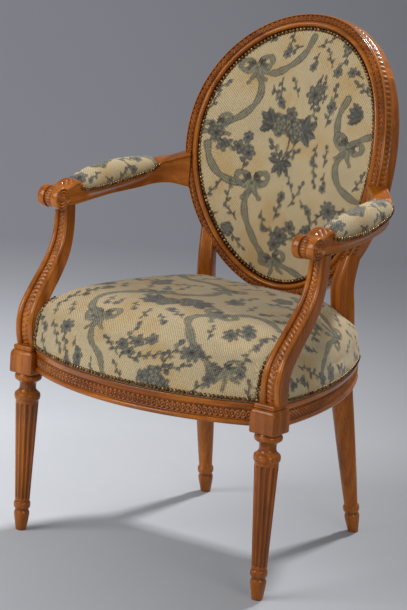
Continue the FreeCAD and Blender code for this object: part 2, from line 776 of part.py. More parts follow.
def oval_stations(edge, pieces):
    # Upright lines across the oval, closer together towards its sides.
    return [edge * math.sin(math.pi * (i / pieces - 0.5)) for i in range(pieces + 1)]


def dished_sheet(stations, depth, thickness, grow):
    # A sheet that follows the back's dish, at a depth behind its front surface.
    rings = []
    for x in stations:
        top, bottom = oval_heights(x, grow)
        rings.append([
            back_point(x, bottom, depth), back_point(x, top, depth),
            back_point(x, top, depth + thickness), back_point(x, bottom, depth + thickness)])
    return skin(rings)


BACK_PIECES = 12


def back_edge():
    # How far to the side the padding of the back reaches.
    return dim("back_half_width") * 0.985


def back_cushion(inset):
    # The swelling front of the back: upright sections side by side, each with its own crown.
    edge = back_edge() - inset
    stations = [max(-edge, min(edge, x)) for x in oval_stations(back_edge(), BACK_PIECES)]
    return skin([back_section(x, inset) for x in stations])


def oval_heights(x, grow):
    # Where an upright line at x crosses the nail line, above and below its middle.
    width = dim("back_half_width") + grow
    height = dim("back_half_height") + grow
    heights = []
    for side in (1, -1):
        angle = side * math.pi / 4
        for _ in range(40):
            angle = side * math.acos(min(1, abs(x) / (width * (1 + dim("back_egg") * math.sin(angle)))))
        heights.append(height * math.sin(angle))
    return heights


def back_section(x, inset):
    top, bottom = oval_heights(x, -1 - inset)
    middle = (top + bottom) / 2
    share = (top - bottom) / (2 * dim("back_half_height"))
    crown = dim("back_crown") * share ** 0.8 - inset
    seat = back_layers()[0]
    front = curve(back_point(x, bottom, 0.5), back_point(x, middle, -crown), back_point(x, top, 0.5), 8)
    return front + [back_point(x, top, seat), back_point(x, bottom, seat)]


# Back rail, corner blocks and pegs

def back_rail():
    # A straight rail between the posts, with a tenon at each end.
    body = new_body("back_rail_body")
    rail = closed_sketch(body, "section", "YZ_Plane", [
        ("Dims.back_rail_front", "Dims.rail_base"), ("Dims.back_rail_back", "Dims.rail_base"),
        ("Dims.back_rail_back", "Dims.rail_top"), ("Dims.back_rail_front", "Dims.rail_top")])
    half = "Dims.tenon_thickness / 2"
    tenon = closed_sketch(body, "tenon_section", "YZ_Plane", [
        ("Dims.back_tenon_y - " + half, "Dims.tenon_base"), ("Dims.back_tenon_y + " + half, "Dims.tenon_base"),
        ("Dims.back_tenon_y + " + half, "Dims.tenon_top"), ("Dims.back_tenon_y - " + half, "Dims.tenon_top")])
    for sketch, name, length in (
            (rail, "rail", "2 * Dims.post_inner_x"),
            (tenon, "tenons", "2 * (Dims.post_inner_x + Dims.tenon_length)")):
        feature = body.newObject("PartDesign::Pad", name)
        feature.Profile = sketch
        feature.SideType = "Symmetric"
        feature.setExpression("Length", length)
    doc.recompute()
    return body.Shape


def peg(start, direction, length):
    # A riven, eight-sided peg.
    side = direction.cross(Vector(0, 0, 1) if abs(direction.z) < 0.9 else Vector(1, 0, 0)).normalize()
    other = direction.cross(side).normalize()
    radius = dim("peg_diameter") / 2
    turns = [math.radians(45 * k) for k in range(8)]
    outline = polygon([start + side * (radius * math.cos(a)) + other * (radius * math.sin(a)) for a in turns])
    return prism(outline, direction.normalize() * length)


def seat_pegs():
    # One peg through each mortise of the seat frame, on the right-hand side.
    level = (dim("tenon_base") + dim("tenon_top")) / 2
    block = dim("leg_block") / 2
    front_face = dim("leg_y") - block
    side_face = dim("leg_x") + block
    return [
        peg(Vector(dim("leg_x") - block + 9, front_face, level), Vector(0, 1, 0), 32),
        peg(Vector(side_face, dim("leg_y") + block - 9, level), Vector(-1, 0, 0), 32),
        peg(Vector(dim("post_inner_x") + 9, dim("post_back_y"), level), Vector(0, -1, 0), 32),
        peg(Vector(dim("side_rail_end_x") - 14, dim("post_front_y") + 12, level), Vector(1, 0, 0), 24)]


def back_pegs():
    # Pegs from behind through the tenons of the oval frame, on the right-hand side.
    pegs = []
    for joint, turn in ((dim("crest_start"), -2.5), (dim("lower_start"), 3.2)):
        line = oval(math.radians(joint + turn), (dim("frame_outer") - dim("frame_inner")) / 2)
        start = back_point(line.x, line.y, dim("frame_depth"))
        pegs.append(peg(start, back_normal(line.x) * -1, 27))
    return pegs


def both_sides(shapes):
    return list(shapes) + [mirrored(shape) for shape in shapes]


BLOCK_PLANS = {
    # Plan of each right-hand corner block, its first and last points ending the face seen from inside.
    "front": [(160, -240), (270, -240), (270, -115), (248, -115)],
    "rear": [(190, 100), (215, 100), (200, 172), (82, 172)],
}


def corner_block(place, neighbours):
    # A glued block that fits the corner between the rails and the leg.
    base, height = dim("rail_base") + 5, 30
    outline = polygon([Vector(x, y, base) for x, y in BLOCK_PLANS[place]])
    inside = seat_sheet(dim("rail_thickness"), base, height)
    return largest(prism(outline, Vector(0, 0, height)).common(inside).cut(neighbours + seat_pegs()))


# Everything in its place

def wooden_frame():
    # The right-hand and middle pieces of the frame, by name.
    leg = front_leg_blank()
    leg.translate(Vector(dim("leg_x"), dim("leg_y"), 0))
    leg = single(leg.cut([front_tenon(), side_front_tenon(), support_foot_tenon()] + seat_pegs()))
    post = single(rear_post().cut(seat_pegs() + back_pegs()))
    frame = {"front_leg": leg, "rear_post": post}
    front = front_rail_blank().fuse([front_tenon(), mirrored(front_tenon())])
    frame["front_rail"] = single(front.cut(both_sides(seat_pegs())))
    side = side_rail_blank().common(box((0, 400), (-400, dim("post_front_y")), (0, 500)))
    side = side.fuse([side_front_tenon(), side_back_tenon()])
    frame["side_rail"] = single(side.cut(seat_pegs()))
    frame["back_rail"] = single(back_rail().cut(both_sides(seat_pegs() + [post])))
    crest_tenon = frame_tenon(dim("crest_start"), -1)
    crest = frame_arc(dim("crest_start"), 180 - dim("crest_start"), 9)
    crest = crest.fuse([crest_tenon, mirrored(crest_tenon)])
    frame["crest_rail"] = single(crest.cut(both_sides(back_pegs())))
    lower_tenon = frame_tenon(dim("lower_start"), 1)
    lower = frame_arc(-180 - dim("lower_start"), dim("lower_start"), 7)
    lower = lower.fuse([lower_tenon, mirrored(lower_tenon)])
    frame["lower_back_rail"] = single(lower.cut(both_sides(back_pegs())))
    frame["arm_support"] = single(support_blank().fuse([support_foot_tenon(), support_head_tenon()]))
    arm = arm_blank().cut([support_head_tenon(), post])
    arm = max(arm.Solids, key=lambda solid: solid.Volume)
    frame["arm"] = single(arm.fuse(arm_tenon()))
    return frame


def shell(outer, inner):
    # The cover between a cushion's outside and its filling.
    return max(outer.cut(inner).Solids, key=lambda solid: solid.Volume)


def largest(shape):
    return max(shape.Solids, key=lambda solid: solid.Volume)


def seat_upholstery(frame):
    cloth = dim("cloth_thickness")
    thick = dim("webbing_thickness")
    posts = both_sides([frame["rear_post"]])
    legs = both_sides([frame["front_leg"]])
    room = both_sides([support_room()])
    post_room = both_sides([stile_room()])
    inner = seat_dome(cloth)
    base = dim("rail_top") + 2 * thick + cloth
    filling = inner.common(box((-400, 400), (-400, 400), (base, 600)))
    cover = shell(seat_dome(0), inner)
    return {
        "seat_webbing_lengthwise": webbing(False).cut(room + post_room),
        "seat_webbing_crosswise": webbing(True).cut(room + post_room),
        "seat_base_cloth": largest(seat_sheet(6, base - cloth, cloth).cut(room + post_room)),
        "seat_filling": largest(filling.cut(room + post_room)),
        "seat_cover": largest(cover.cut(room + post_room + posts + legs)),
        "under_seat_cloth": largest(seat_sheet(9, dim("rail_base") - cloth, cloth).cut(posts + legs)),
    }


def stile_room():
    # The space that the stile takes up where it comes through the seat, with a little play.
    x, y, play = dim("rear_leg_x"), dim("rear_leg_y"), 2
    sections = [
        stile_section(Vector(x, y, dim("rail_base")), 36 + play, 40 + play, 6),
        stile_section(Vector(x, y, dim("rail_top")), 36 + play, 40 + play, 6),
        stile_section(Vector(x, 169, 385), 32 + play, 40 + play, 14),
        stile_section(Vector(x, 165, 425), 30 + play, 39 + play, 20),
        stile_section(Vector(x - 1, 162.5, 470), 29 + play, 37 + play, 22)]
    return skin(sections)


def back_layers():
    # Depths of the linen cloth and of the webbing behind it, in the front rebate.
    webbing_depth = dim("back_rebate") - dim("webbing_thickness") - 0.8
    return webbing_depth - dim("cloth_thickness"), webbing_depth


def back_webs():
    # Three upright straps.
    width, gap = dim("webbing_width"), dim("webbing_gap")
    straps = []
    for i in range(-1, 2):
        middle = i * (width + gap)
        stations = [middle + width * (k / 4 - 0.5) for k in range(5)]
        straps.append(dished_sheet(stations, back_layers()[1], dim("webbing_thickness"), -6))
    return Part.makeCompound(straps)


def back_upholstery():
    cloth = dim("cloth_thickness")
    inner = back_cushion(cloth)
    stations = oval_stations(back_edge(), BACK_PIECES)
    return {
        "back_webbing": back_webs(),
        "back_filling": inner,
        "back_cover": shell(back_cushion(0), inner),
        "back_lining_cloth": dished_sheet(stations, back_layers()[0], cloth, -2),
        "outside_back_cover": dished_sheet(stations, dim("frame_depth") - 2.2, cloth, 0),
    }


def arm_upholstery():
    cloth = dim("cloth_thickness")
    return {"arm_pad_filling": arm_pad(cloth), "arm_pad_cover": shell(arm_pad(0), arm_pad(cloth, 2))}


def save():
    os.makedirs("parts", exist_ok=True)
    for node in nodes:
        node.Shape.exportStep(os.path.join("parts", node.Label + ".step"))


def add_pair(name, shape):
    keep(solid_feature(name + "_right", shape))
    keep(solid_feature(name + "_left", mirrored(shape)))


def main():
    frame = wooden_frame()
    for name in ("front_leg", "rear_post", "side_rail", "arm_support", "arm"):
        add_pair(name, frame[name])
    for name in ("front_rail", "back_rail", "crest_rail", "lower_back_rail"):
        keep(solid_feature(name, frame[name]))
    for place, neighbours in (
            ("front", [frame["front_leg"], frame["side_rail"], frame["front_rail"]]),
            ("rear", [frame["rear_post"], frame["side_rail"], frame["back_rail"]])):
        add_pair("corner_block_" + place, corner_block(place, neighbours))
    pegs = both_sides(seat_pegs() + back_pegs())
    keep(solid_feature("joint_pegs", Part.makeCompound(pegs)))
    for name, shape in list(seat_upholstery(frame).items()) + list(back_upholstery().items()):
        keep(solid_feature(name, shape))
    for name, shape in arm_upholstery().items():
        add_pair(name, shape)
    doc.recompute()
    for item in doc.Objects:
        assert "Invalid" not in item.State and "Error" not in item.State, item.Label
    for node in nodes:
        assert not node.Shape.isNull() and node.Shape.isValid(), node.Label
        print(node.Label, len(node.Shape.Solids), round(node.Shape.Volume))
    save()


main()
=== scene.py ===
import math

import bmesh
import bpy
import numpy as np
from mathutils import Matrix, Vector
from mathutils.bvhtree import BVHTree


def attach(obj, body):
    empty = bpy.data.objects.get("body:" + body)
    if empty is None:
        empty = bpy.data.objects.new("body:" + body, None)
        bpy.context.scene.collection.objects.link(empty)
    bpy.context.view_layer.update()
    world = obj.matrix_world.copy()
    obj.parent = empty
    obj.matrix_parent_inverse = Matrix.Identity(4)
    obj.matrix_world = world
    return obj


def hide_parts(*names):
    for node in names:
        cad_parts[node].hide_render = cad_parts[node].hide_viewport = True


# Oval-backed armchair in waxed beech with tapestry covers. Drawing sizes are in millimetres.
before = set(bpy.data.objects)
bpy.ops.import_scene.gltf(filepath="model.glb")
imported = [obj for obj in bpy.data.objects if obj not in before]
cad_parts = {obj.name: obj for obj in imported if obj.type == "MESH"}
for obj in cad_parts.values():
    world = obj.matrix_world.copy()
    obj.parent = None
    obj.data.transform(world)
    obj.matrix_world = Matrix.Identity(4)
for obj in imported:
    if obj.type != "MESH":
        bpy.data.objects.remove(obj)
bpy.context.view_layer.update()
middleShift = 4.21  # the drawing's depths start this far in front of the chair's middle
print("frame loaded")


def metres(points):
    moved = np.array(points, float)
    moved[..., 1] -= middleShift
    return moved / 1000


def smoothRows(rows, count):
    # a smooth run through rows of numbers
    rows = np.array(rows, float)
    last = len(rows) - 1
    steps = np.linspace(0, last, count)
    low = np.minimum(steps.astype(int), last - 1)
    t = (steps - low)[:, None]
    a, b, c, d = (rows[np.clip(low + i, 0, last)] for i in (-1, 0, 1, 2))
    bend, twist = 2 * a - 5 * b + 4 * c - d, 3 * b - 3 * c + d - a
    return 0.5 * (2 * b + (c - a) * t + bend * t ** 2 + twist * t ** 3)


def lengthsAlong(points):
    # how far each point lies along their line
    return np.r_[0, np.cumsum(np.linalg.norm(np.diff(points, axis=0), axis=1))]


def evenly(points, spacing):
    # points along a line at about that spacing
    points = np.array(points, float)
    lengths = lengthsAlong(points)
    count = max(2, int(round(lengths[-1] / spacing)) + 1)
    at = np.linspace(0, lengths[-1], count)
    return np.stack([np.interp(at, lengths, points[:, k]) for k in range(points.shape[1])], axis=1)


def rgb(red, green, blue):
    # a colour as a painter reads it, 0 to 255, to Blender's linear numbers
    return tuple(v / 12.92 if v <= 0.04045 else ((v + 0.055) / 1.055) ** 2.4
                 for v in (red / 255, green / 255, blue / 255))


def netFaces(rows, columns):
    # the numbers of a net's points, and its four-sided faces
    index = np.arange(rows * columns).reshape(rows, columns)
    faces = np.stack([index[:-1, :-1], index[:-1, 1:], index[1:, 1:], index[1:, :-1]], -1)
    return index, faces.reshape(-1, 4).tolist()


def roundEdge(net):
    # a net's edge, once round
    return np.concatenate([net[0], net[1:, -1], net[-1, -2::-1], net[-2:0:-1, 0]])


def makeMesh(name, points, faces, closed=True):
    # smooth, from points in metres; a closed mesh has its faces turned outwards
    mesh = bpy.data.meshes.new(name)
    mesh.from_pydata(points.reshape(-1, 3).tolist(), [], faces)
    if closed:
        sides = bmesh.new()
        sides.from_mesh(mesh)
        bmesh.ops.recalc_face_normals(sides, faces=sides.faces)
        sides.to_mesh(mesh)
        sides.free()
    mesh.polygons.foreach_set("use_smooth", [True] * len(mesh.polygons))
    return mesh


def keepValues(mesh, name, kind, values):
    # what a finish reads at each point
    field = {"FLOAT": "value", "FLOAT_VECTOR": "vector", "FLOAT_COLOR": "color"}[kind]
    mesh.attributes.new(name, kind, "POINT").data.foreach_set(field, np.ravel(values))


def addObject(name, data):
    thing = bpy.data.objects.new(name, data)
    bpy.context.scene.collection.objects.link(thing)
    return thing


def addPiece(name, mesh, finish, nodes):
    mesh.materials.append(finish)
    piece = addObject(name, mesh)
    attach(piece, "root")
    if nodes:
        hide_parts(*nodes)
    return piece


class Shape:
    # the grids of one piece before they become a mesh
    def __init__(self):
        self.points, self.faces, self.hollows, self.count = [], [], [], 0

    def grid(self, rings, hollow=0.0):
        # rings of points joined one to the next and closed at both ends
        rings = np.array(rings, float)
        rows, columns = rings.shape[:2]
        index = self.count + np.arange(rows * columns).reshape(rows, columns)
        beside = np.roll(index, -1, axis=1)
        quads = np.stack([index[:-1], beside[:-1], beside[1:], index[1:]], axis=-1)
        self.faces += quads.reshape(-1, 4).tolist()
        self.faces += [index[0][::-1].tolist(), index[-1].tolist()]
        self.points.append(rings.reshape(-1, 3))
        self.hollows.append(np.broadcast_to(hollow, (rows, columns)).ravel())
        self.count += rows * columns
        return self

    def mirrored(self):
        other = Shape()
        other.points = [points * (-1, 1, 1) for points in self.points]
        other.faces, other.hollows, other.count = self.faces, self.hollows, self.count
        return other


grainAxes = {"x": (1, 2, 0), "y": (0, 2, 1), "z": (0, 1, 2)}


def makePiece(name, shape, finish, nodes=(), grain="z", crease=42):
    points = metres(np.concatenate(shape.points))
    mesh = makeMesh(name, points, shape.faces)
    keepValues(mesh, "hollow", "FLOAT", np.concatenate(shape.hollows))
    # each piece is cut from another place in the plank
    plankShift = (sum(map(ord, name)) % 17) * 0.31
    keepValues(mesh, "grain", "FLOAT_VECTOR", points[:, grainAxes[grain]] + plankShift)
    mesh.set_sharp_from_angle(angle=math.radians(crease))
    return addPiece(name, mesh, finish, nodes)


def makePair(name, shape, finish, nodes=(), grain="z"):
    makePiece(name + "Right", shape, finish, [node + "_right" for node in nodes], grain)
    makePiece(name + "Left", shape.mirrored(), finish, [node + "_left" for node in nodes], grain)


# Finishes

bandScale = 0.31  # of a wave texture, for bands one metre apart


class Finish:
    # a few lines of node building, kept short
    def __init__(self, name):
        self.material = bpy.data.materials.new(name)
        self.material.use_nodes = True
        self.nodes = self.material.node_tree.nodes
        self.links = self.material.node_tree.links
        self.shader = self.nodes["Principled BSDF"]

    def add(self, kind, **settings):
        node = self.nodes.new("ShaderNode" + kind)
        for key, value in settings.items():
            if hasattr(node, key):
                setattr(node, key, value)
            else:
                node.inputs[key.replace("_", " ")].default_value = value
        return node

    def fill(self, socket, value):
        # from another node, or with a fixed number or colour
        if isinstance(value, bpy.types.NodeSocket):
            self.links.new(value, socket)
        else:
            socket.default_value = (*value, 1) if isinstance(value, tuple) else value

    def read(self, attribute, output="Fac"):
        return self.add("Attribute", attribute_name=attribute).outputs[output]

    def stretch(self, where, scale=(1, 1, 1), turn=(0, 0, 0)):
        node = self.add("Mapping", Scale=scale, Rotation=turn)
        self.fill(node.inputs["Vector"], where)
        return node.outputs["Vector"]

    def place(self, attribute=None, turn=(0, 0, 0)):
        # where on the piece a texture is read
        source = self.read(attribute, "Vector") if attribute else self.add("TexCoord").outputs["Object"]
        return self.stretch(source, turn=turn)

    def noise(self, where, size, detail=3.0, rough=0.5, distortion=0.0):
        node = self.add("TexNoise", Scale=size, Detail=detail, Roughness=rough, Distortion=distortion)
        self.fill(node.inputs["Vector"], where)
        return node.outputs["Fac"]

    def bands(self, where, pitch, direction, **settings):
        node = self.add("TexWave", wave_type="BANDS", bands_direction=direction,
                        Scale=bandScale / pitch, **settings)
        self.fill(node.inputs["Vector"], where)
        return node.outputs["Fac"]

    def ramp(self, value, stops):
        node = self.add("ValToRGB")
        elements = node.color_ramp.elements
        while len(elements) < len(stops):
            elements.new(0.5)
        for element, (place, colour) in zip(elements, stops):
            element.position = place
            element.color = (*colour, 1)
        self.fill(node.inputs["Fac"], value)
        return node.outputs["Color"]

    def grey(self, value, low, high, dark=0.0, light=1.0):
        node = self.add("MapRange", From_Min=low, From_Max=high, To_Min=dark, To_Max=light)
        self.fill(node.inputs["Value"], value)
        return node.outputs["Result"]

    def blend(self, share, first, second, how="MIX"):
        node = self.add("Mix", data_type="RGBA", blend_type=how)
        for value, socket in ((share, node.inputs[0]), (first, node.inputs[6]), (second, node.inputs[7])):
            self.fill(socket, value)
        return node.outputs[2]

    def times(self, first, second):
        node = self.add("Math", operation="MULTIPLY")
        self.fill(node.inputs[0], first)
        self.fill(node.inputs[1], second)
        return node.outputs[0]

    def bump(self, height, strength, distance):
        node = self.add("Bump", Strength=strength, Distance=distance)
        self.fill(node.inputs["Height"], height)
        self.fill(self.shader.inputs["Normal"], node.outputs["Normal"])

    def done(self, colour, roughness, **fixed):
        self.fill(self.shader.inputs["Base Color"], colour)
        self.fill(self.shader.inputs["Roughness"], roughness)
        for key, value in fixed.items():
            self.shader.inputs[key.replace("_", " ")].default_value = value
        return self.material


beechLook = {
    "light": rgb(216, 132, 48), "middle": rgb(177, 99, 27), "deep": rgb(118, 60, 12),
    # the hollow colour is dirt and painted shade in recesses; the last is wear and a painted highlight on
    # raised parts
    "pore": rgb(62, 24, 6), "hollow": rgb(62, 24, 6), "wearAndHighlight": rgb(214, 136, 66),
    "rawDeep": rgb(146, 104, 66), "rawMiddle": rgb(186, 146, 102), "rawLight": rgb(204, 168, 124),
}


def waxedBeech(name, carved=True):
    look = beechLook
    wood = Finish(name)
    where = wood.place("grain" if carved else None)
    rings = wood.noise(wood.stretch(where, (46, 46, 3.2)), 1.0, 6, 0.62, 0.6)
    colour = wood.ramp(rings, ((0.28, look["deep"]), (0.5, look["middle"]), (0.74, look["light"])))
    pores = wood.noise(wood.stretch(where, (620, 620, 34)), 1.0, 2, 0.6)
    colour = wood.blend(wood.grey(pores, 0.56, 0.72, 0, 0.6), colour, look["pore"])
    patches = wood.noise(where, 9.0, 2)
    colour = wood.blend(wood.grey(patches, 0.35, 0.68, 0.0, 0.52), colour, look["deep"])
    if carved:
        # partly dirt, partly painted shade in the recesses; partly wear, partly painted highlight on the
        # raised parts
        hollow = wood.read("hollow")
        colour = wood.blend(wood.grey(hollow, 0.15, 1.0, 0, 0.9), colour, look["hollow"])
        colour = wood.blend(wood.grey(hollow, -0.1, -1.0, 0, 0.6), colour, look["wearAndHighlight"])
    wood.bump(wood.times(pores, -0.5), 0.25, 0.0006)
    smudge = wood.noise(where, 38.0, 3)
    return wood.done(colour, wood.grey(smudge, 0.3, 0.7, 0.24, 0.36),
                     Coat_Weight=0.5, Coat_Roughness=0.13, Specular_IOR_Level=0.12)


def rawBeech(name, turn):
    look = beechLook
    wood = Finish(name)
    rings = wood.noise(wood.stretch(wood.place(turn=turn), (70, 70, 5)), 1.0, 6, 0.6, 0.5)
    colour = wood.ramp(rings, ((0.3, look["rawDeep"]), (0.55, look["rawMiddle"]), (0.78, look["rawLight"])))
    wood.bump(rings, 0.4, 0.0008)
    return wood.done(colour, wood.grey(rings, 0.3, 0.7, 0.62, 0.8))


tapestryLook = {
    "gold": rgb(218, 186, 130), "cream": rgb(227, 210, 170), "greyed": rgb(209, 196, 162),
    "border": rgb(126, 104, 72), "stitchShade": rgb(96, 78, 50), "frayed": rgb(120, 104, 78), "pitch": 0.0024,
}


def tapestry(name):
    look = tapestryLook
    cloth = Finish(name)
    where = cloth.place("cloth")
    clouds = cloth.noise(where, 11.0, 3, 0.55)
    ground = cloth.ramp(clouds, ((0.32, look["gold"]), (0.52, look["cream"]), (0.75, look["greyed"])))
    speckle = cloth.noise(where, 330.0, 2)
    ground = cloth.blend(cloth.grey(speckle, 0.48, 0.62, 0, 0.5), ground, look["gold"])
    ground = cloth.blend(cloth.grey(speckle, 0.5, 0.36, 0, 0.28), ground, look["border"])
    colour = cloth.blend(cloth.read("worked"), ground, cloth.read("yarn", "Color"))
    # painted shade: the border colour along the nailed edge and over the underside
    colour = cloth.blend(cloth.read("rim"), colour, look["border"])
    # slanted stitches in rows
    rows = cloth.bands(where, look["pitch"], "DIAGONAL", Distortion=1.2, Detail=1.0, Detail_Scale=0.6)
    crossed = cloth.place("cloth", (0, 0, math.radians(90)))
    columns = cloth.bands(crossed, look["pitch"], "DIAGONAL", Distortion=0.8, Detail=1.0, Detail_Scale=0.6)
    stitch = cloth.times(rows, cloth.grey(columns, 0, 1, 0.35, 1.0))
    colour = cloth.blend(cloth.grey(stitch, 0.0, 0.55, 0.44, 0.0), colour, look["stitchShade"], "MULTIPLY")
    frayed = cloth.noise(where, 700.0, 2)
    colour = cloth.blend(cloth.grey(frayed, 0.42, 0.62, 0.0, 0.3), colour, look["frayed"], "MULTIPLY")
    cloth.bump(stitch, 0.55, 0.0009)
    return cloth.done(colour, cloth.grey(stitch, 0, 1, 0.92, 0.74), Sheen_Weight=0.18, Sheen_Roughness=0.5,
                      Specular_IOR_Level=0.2)


def plainCloth(name, light, dark, pitch=0.0016, stripe=None, stripePitch=0.019):
    cloth = Finish(name)
    where = cloth.place("cloth")
    weave = cloth.times(*(cloth.bands(where, pitch, direction, Distortion=1.5, Detail=1.0, Detail_Scale=1.4)
                          for direction in ("X", "Y")))
    colour = cloth.ramp(cloth.noise(where, 16.0, 4), ((0.3, dark), (0.7, light)))
    colour = cloth.blend(cloth.grey(weave, 0, 0.6, 0.5, 0), colour, dark, "MULTIPLY")
    if stripe:
        striped = cloth.grey(cloth.bands(where, stripePitch, "X"), 0.8, 0.95, 0, 0.8)
        colour = cloth.blend(striped, colour, stripe)
    cloth.bump(weave, 0.5, 0.0006)
    return cloth.done(colour, cloth.grey(weave, 0, 1, 0.95, 0.8), Sheen_Weight=0.1)


bronzeLook = {"dark": rgb(62, 40, 20), "middle": rgb(122, 90, 52), "bright": rgb(184, 156, 112)}


def agedBronze(name):
    look = bronzeLook
    metal = Finish(name)
    patches = metal.noise(metal.place(), 160.0, 4, 0.6)
    colour = metal.ramp(patches, ((0.35, look["dark"]), (0.52, look["middle"]), (0.7, look["bright"])))
    metal.bump(patches, 0.2, 0.0004)
    return metal.done(colour, metal.grey(patches, 0.3, 0.7, 0.42, 0.2), Metallic=0.9)


beech = waxedBeech("waxed beech")
tapestryCloth = tapestry("tapestry")
linen = plainCloth("unbleached linen", rgb(192, 184, 164), rgb(172, 164, 144))
underLinen = plainCloth("under cloth", rgb(190, 188, 184), rgb(168, 166, 162))
webbingCloth = plainCloth("jute webbing", rgb(176, 150, 108), rgb(122, 96, 60), 0.0024, rgb(104, 46, 30))
bronze = agedBronze("aged bronze")
print("finishes ready")


# Turned work

def bead(low, high, inner, outer, steps=8):
    return [(low + (high - low) * (1 - math.cos(math.pi * k / steps)) / 2,
             inner + (outer - inner) * math.sin(math.pi * k / steps)) for k in range(steps + 1)]


frontLeg = {"x": 256, "y": -204, "flutes": 12, "fluteDepth": 2.4, "fluteTop": 234, "fluteBase": 58,
            "fluteWide": 0.37, "shaftFoot": 13.0, "shaftHead": 20.6, "shaftLow": 53, "shaftHigh": 240,
            "block": 24, "blockCorner": 2.5}


def footProfile(slim=0.0):
    return ([(0, 9.0), (1.2, 9.7), (10, 11.0), (20, 12.6), (27, 13.6), (30, 13.9), (32.5, 13.7), (34.5, 13.0),
             (35.8, 12.3), (37, 12.0), (39.5, 12.1)] + bead(40, 53, 12.6, 15.0) + [(54, 13.2 - slim)])


def footHollow(profile):
    # dirt and painted shade under the foot's ring
    return [[0.5 if 35 < z < 40 else 0] for z, r in profile]


def turnedGrid(profile, sides=96):
    turns = np.linspace(0, 2 * math.pi, sides, endpoint=False)
    return np.array([[(r * math.cos(t), r * math.sin(t), z) for t in turns] for z, r in profile])


def flutedShaft(look, sides=216):
    # round-ended channels between narrow fillets
    base, top, wide = look["fluteBase"], look["fluteTop"], look["fluteWide"]
    turns = np.linspace(0, 2 * math.pi, sides, endpoint=False)
    heights = np.r_[look["shaftLow"] + 1, np.linspace(base - 1, base + 6, 8), np.linspace(70, 224, 24),
                    np.linspace(226, top + 1, 12), look["shaftHigh"]]
    share = (heights - look["shaftLow"]) / (look["shaftHigh"] - look["shaftLow"])
    radius = look["shaftFoot"] + (look["shaftHead"] - look["shaftFoot"]) * share
    within = (turns * look["flutes"] / (2 * math.pi)) % 1 - 0.5
    reach = wide * 2 * math.pi * radius / look["flutes"]
    fromEnd = np.minimum(top - heights, heights - base)
    opened = np.sqrt(np.clip(1 - (1 - np.clip(fromEnd / reach, 0, 1)) ** 2, 0, 1))
    across = within[None, :] / np.maximum(wide * opened[:, None], 1e-4)
    sunk = np.sqrt(np.clip(1 - across ** 2, 0, 1)) * np.minimum(opened * 1.1, 1)[:, None]
    deep = look["fluteDepth"] * (0.72 + 0.28 * share)[:, None]
    out = radius[:, None] - deep * sunk
    high = np.broadcast_to(heights[:, None], out.shape)
    # the second is painted shade and dirt down the flutes
    return np.stack([out * np.cos(turns), out * np.sin(turns), high], -1), 0.62 * sunk


def roundedPlan(halfX, halfY, corner, perCorner=6):
    places = []
    for k, (sx, sy) in enumerate(((1, 1), (-1, 1), (-1, -1), (1, -1))):
        for i in range(perCorner + 1):
            turn = math.radians(90 * k + 90 * i / perCorner)
            places.append((sx * (halfX - corner) + corner * math.cos(turn),
                           sy * (halfY - corner) + corner * math.sin(turn)))
    return np.array(places)


def stack(levels, centre=(0, 0)):
    # rounded rectangles one over the other: height, half width, half depth, corner
    rings = []
    for z, halfX, halfY, corner in levels:
        plan = roundedPlan(halfX, halfY, corner) + centre
        rings.append(np.column_stack([plan, np.full(len(plan), z)]))
    return np.array(rings)


def buildFrontLeg():
    look = frontLeg
    leg = Shape()
    offset = np.array([look["x"], look["y"], 0])
    foot = footProfile()
    leg.grid(turnedGrid(foot) + offset, footHollow(foot))
    rings, sunk = flutedShaft(look)
    leg.grid(rings + offset, sunk)
    head = [(239, 20.4)] + bead(240, 252, 21.0, 23.0)
    head += [(253, 20.2), (255, 17.6), (257.5, 15.6), (260.5, 14.7), (265, 14.5), (269, 14.9), (271, 15.8),
             (272.5, 17.5), (274.5, 20.4)] + bead(276, 285, 22.0, 24.0) + [(286, 21.0), (289.5, 20.4)]
    # painted shade and dirt in the neck and under the block
    leg.grid(turnedGrid(head) + offset, [[0.55 if 255 < z < 272 or z > 285 else 0] for z, r in head])
    # a little over the drawn block, so that the pegs end inside it
    half, corner = look["block"] + 0.35, look["blockCorner"]
    levels = [(289, half - 1.2, half - 1.2, corner), (290, half - 0.3, half - 0.3, corner),
              (291.5, half, half, corner), (320.5, half, half, corner)]
    for k in range(1, 9):
        turn = math.pi / 2 * k / 8
        inset = 6.5 * (1 - math.cos(turn))
        levels.append((321 + 9.5 * math.sin(turn), half - inset, half - inset, corner + 1))
    levels += [(330.8, 19.4, 19.4, 2), (331.6, 20.2, 20.2, 2), (336.6, 20.2, 20.2, 2), (338, 19.4, 19.4, 2)]
    return leg.grid(stack(levels, (look["x"], look["y"])))


# Rails: an arc in plan, a moulded section with a carved band

def arcThrough(start, end, bow, outward):
    start, end = np.array(start, float), np.array(end, float)
    half = np.linalg.norm(end - start) / 2
    radius = (half * half + bow * bow) / (2 * bow)
    side = np.array([end[1] - start[1], start[0] - end[0]])
    side /= np.linalg.norm(side)
    if side @ np.array(outward) < 0:
        side = -side
    return (start + end) / 2 + side * (bow - radius), radius


frontArc = arcThrough((-232, -216), (232, -216), 66, (0, -1))
sideArc = arcThrough((270, -180), (175, 193), 28, (1, 0))
railLook = {"bandLow": 305.0, "bandHigh": 322.0, "pitch": 9.4, "relief": 2.1}


def sideTurn(y):
    # the turn of the side arc at that depth
    return math.asin((y - sideArc[0][1]) / sideArc[1])


def guilloche(along, across, pitch):
    # two strands that cross at each pitch, with a pearl in every eye; 0 low to 1 high
    phase = along / pitch
    wave = 0.66 * np.sin(math.pi * phase)
    strands = np.maximum(np.exp(-((across - wave) / 0.21) ** 2), np.exp(-((across + wave) / 0.21) ** 2))
    eye = (phase % 1 - 0.5) * 1.9
    pearl = np.sqrt(np.clip(1 - (eye / 0.42) ** 2 - (across / 0.3) ** 2, 0, 1))
    edge = np.clip((np.abs(across) - 0.86) / 0.1, 0, 1)
    return np.maximum(np.maximum(strands * 0.9, pearl), edge * 0.8)


